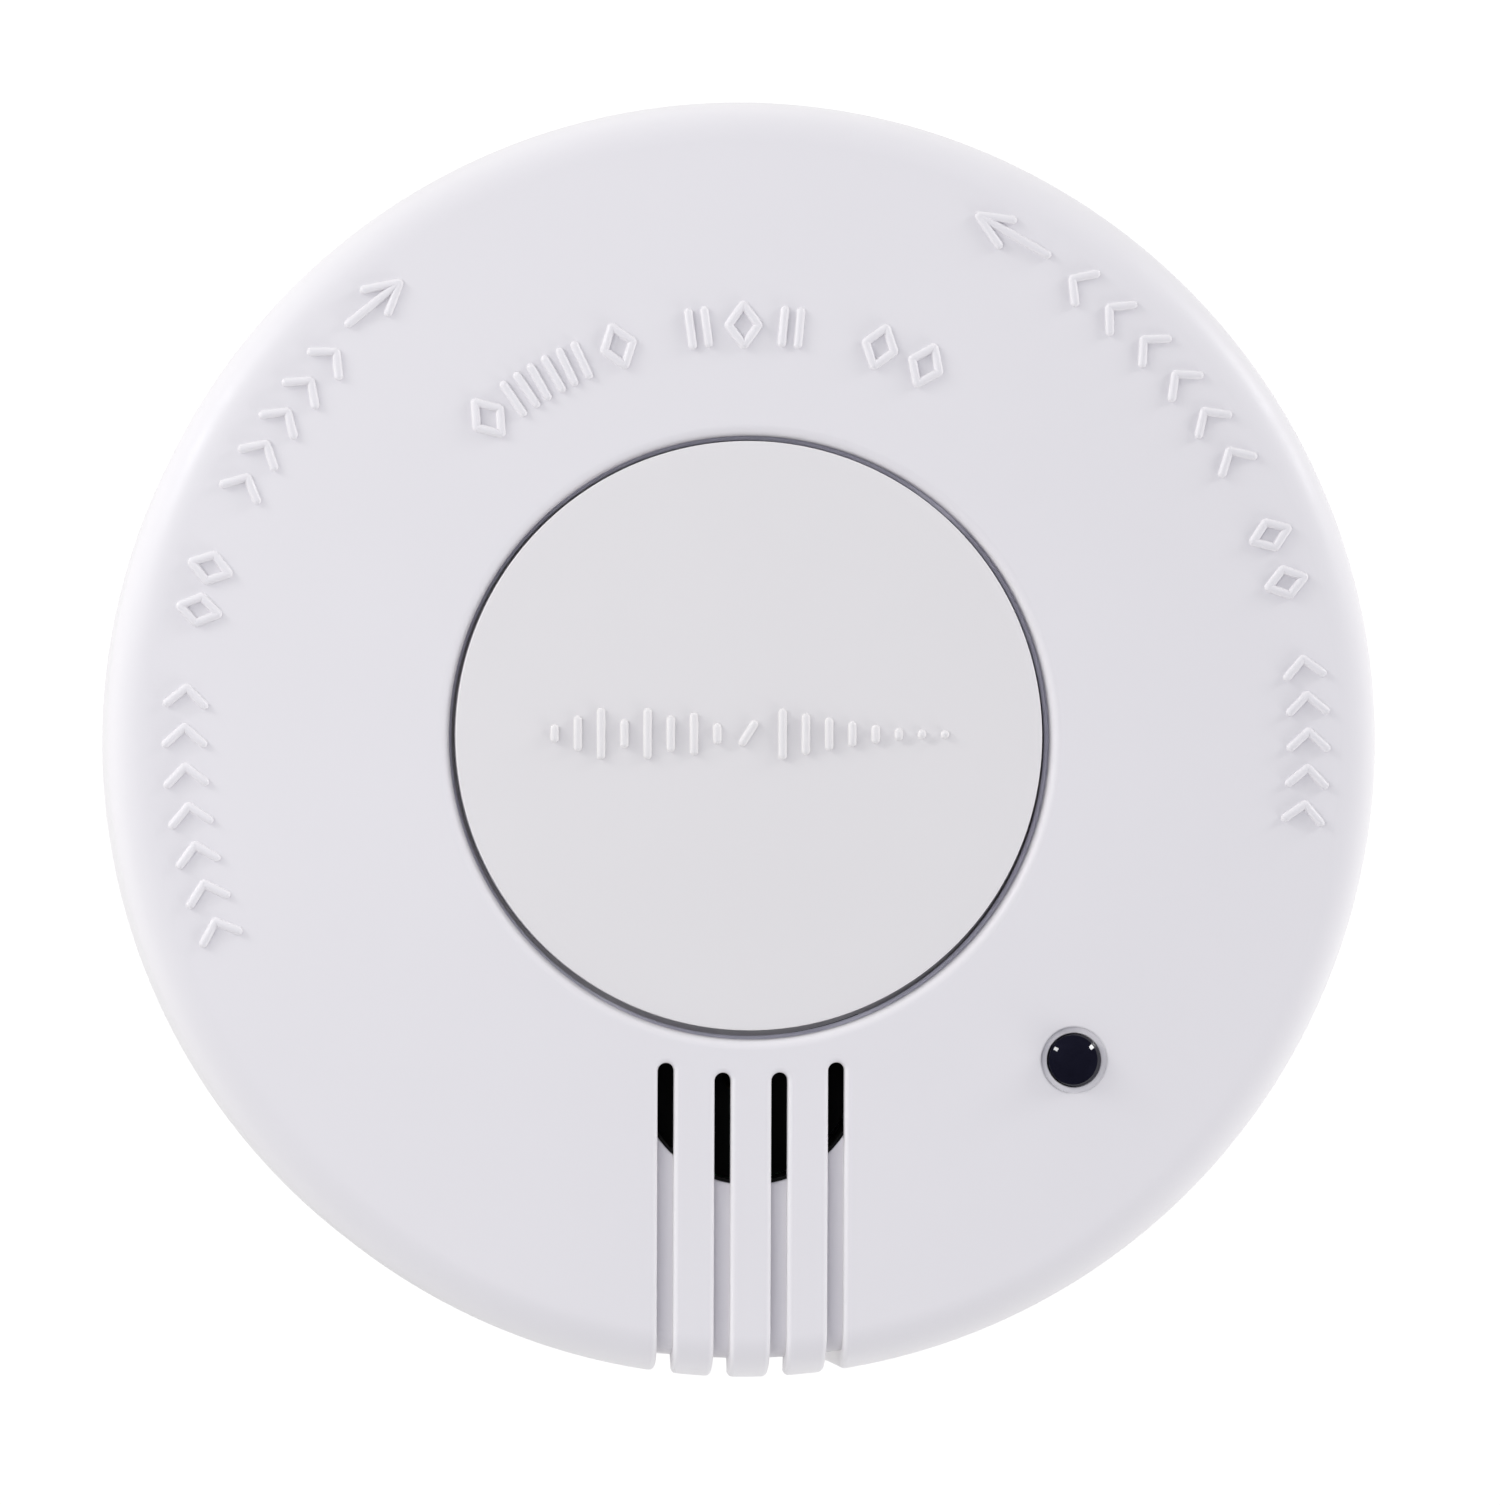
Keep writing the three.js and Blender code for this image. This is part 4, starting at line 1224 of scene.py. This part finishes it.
def floor_material():
    nodes = Nodes("floor_paper")
    fleck = nodes.noise(0.02)
    nodes.feed(
        Base_Color=nodes.blend(nodes.spread(fleck, 0, 1), (0.05, 0.05, 0.05), (0.06, 0.06, 0.06)),
        Roughness=0.9,
        Specular_IOR_Level=0.0,
        Emission_Color=(1, 1, 1, 1),
        Emission_Strength=1.0,
    )
    return nodes.material


STAGE_HALF = 3000
STAGE_Z = -0.5

floor_mesh = bpy.data.meshes.new("floor")
corners = rectangle((-STAGE_HALF, STAGE_HALF), (-STAGE_HALF, STAGE_HALF))(0)
floor_mesh.from_pydata([(x * MM, y * MM, STAGE_Z * MM) for x, y in corners], [], [[0, 1, 2, 3]])
floor_mesh.materials.append(floor_material())
floor = bpy.data.objects.new("floor", floor_mesh)
scene.collection.objects.link(floor)
floor.visible_diffuse = False


def softbox(name, azimuth, from_axis, distance, size, watts, glossy=True):
    """A rectangular light over the alarm, at an azimuth and an angle away from straight above."""
    data = bpy.data.lights.new(name, "AREA")
    data.shape = "RECTANGLE"
    data.size, data.size_y = size
    data.energy = watts
    lamp = bpy.data.objects.new(name, data)
    turn, lean = math.radians(azimuth), math.radians(from_axis)
    towards = Vector(
        (math.cos(turn) * math.sin(lean), math.sin(turn) * math.sin(lean), math.cos(lean))
    )
    lamp.location = towards * distance + Vector((0, 0, 0.03))
    lamp.rotation_mode = "QUATERNION"
    lamp.rotation_quaternion = towards.to_track_quat("Z", "Y")
    lamp.visible_glossy = glossy
    scene.collection.objects.link(lamp)


softbox("key", 147, 72, 1.0, (0.17, 0.3), 2.7)
softbox("rim", 30, 80, 1.0, (0.17, 0.3), 3.1)
softbox("low", 320, 78, 1.0, (0.4, 0.4), 2.5, glossy=False)
softbox("broad", 172, 30, 0.5, (0.5, 0.5), 1.09, glossy=False)

world = bpy.data.worlds.new("studio")
scene.world = world
world.use_nodes = True
sky = world.node_tree
height = sky.nodes.new("ShaderNodeSeparateXYZ")
sky.links.new(sky.nodes.new("ShaderNodeTexCoord").outputs["Generated"], height.inputs[0])
ramp = sky.nodes.new("ShaderNodeValToRGB")
sky.links.new(height.outputs["Z"], ramp.inputs["Fac"])
SKY = [
    (0.0, (0.64, 0.64, 0.64)),
    (0.25, (0.95, 0.95, 0.95)),
    (0.5, (0.86, 0.86, 0.86)),
    (0.75, (0.30, 0.30, 0.32)),
    (0.92, (0.05, 0.055, 0.17)),
]
for n, (at, color) in enumerate(SKY):
    stop = ramp.color_ramp.elements[n] if n < 2 else ramp.color_ramp.elements.new(at)
    stop.position = at
    stop.color = (*color, 1)
sky.links.new(ramp.outputs["Color"], sky.nodes["Background"].inputs["Color"])
world.cycles_visibility.glossy = False
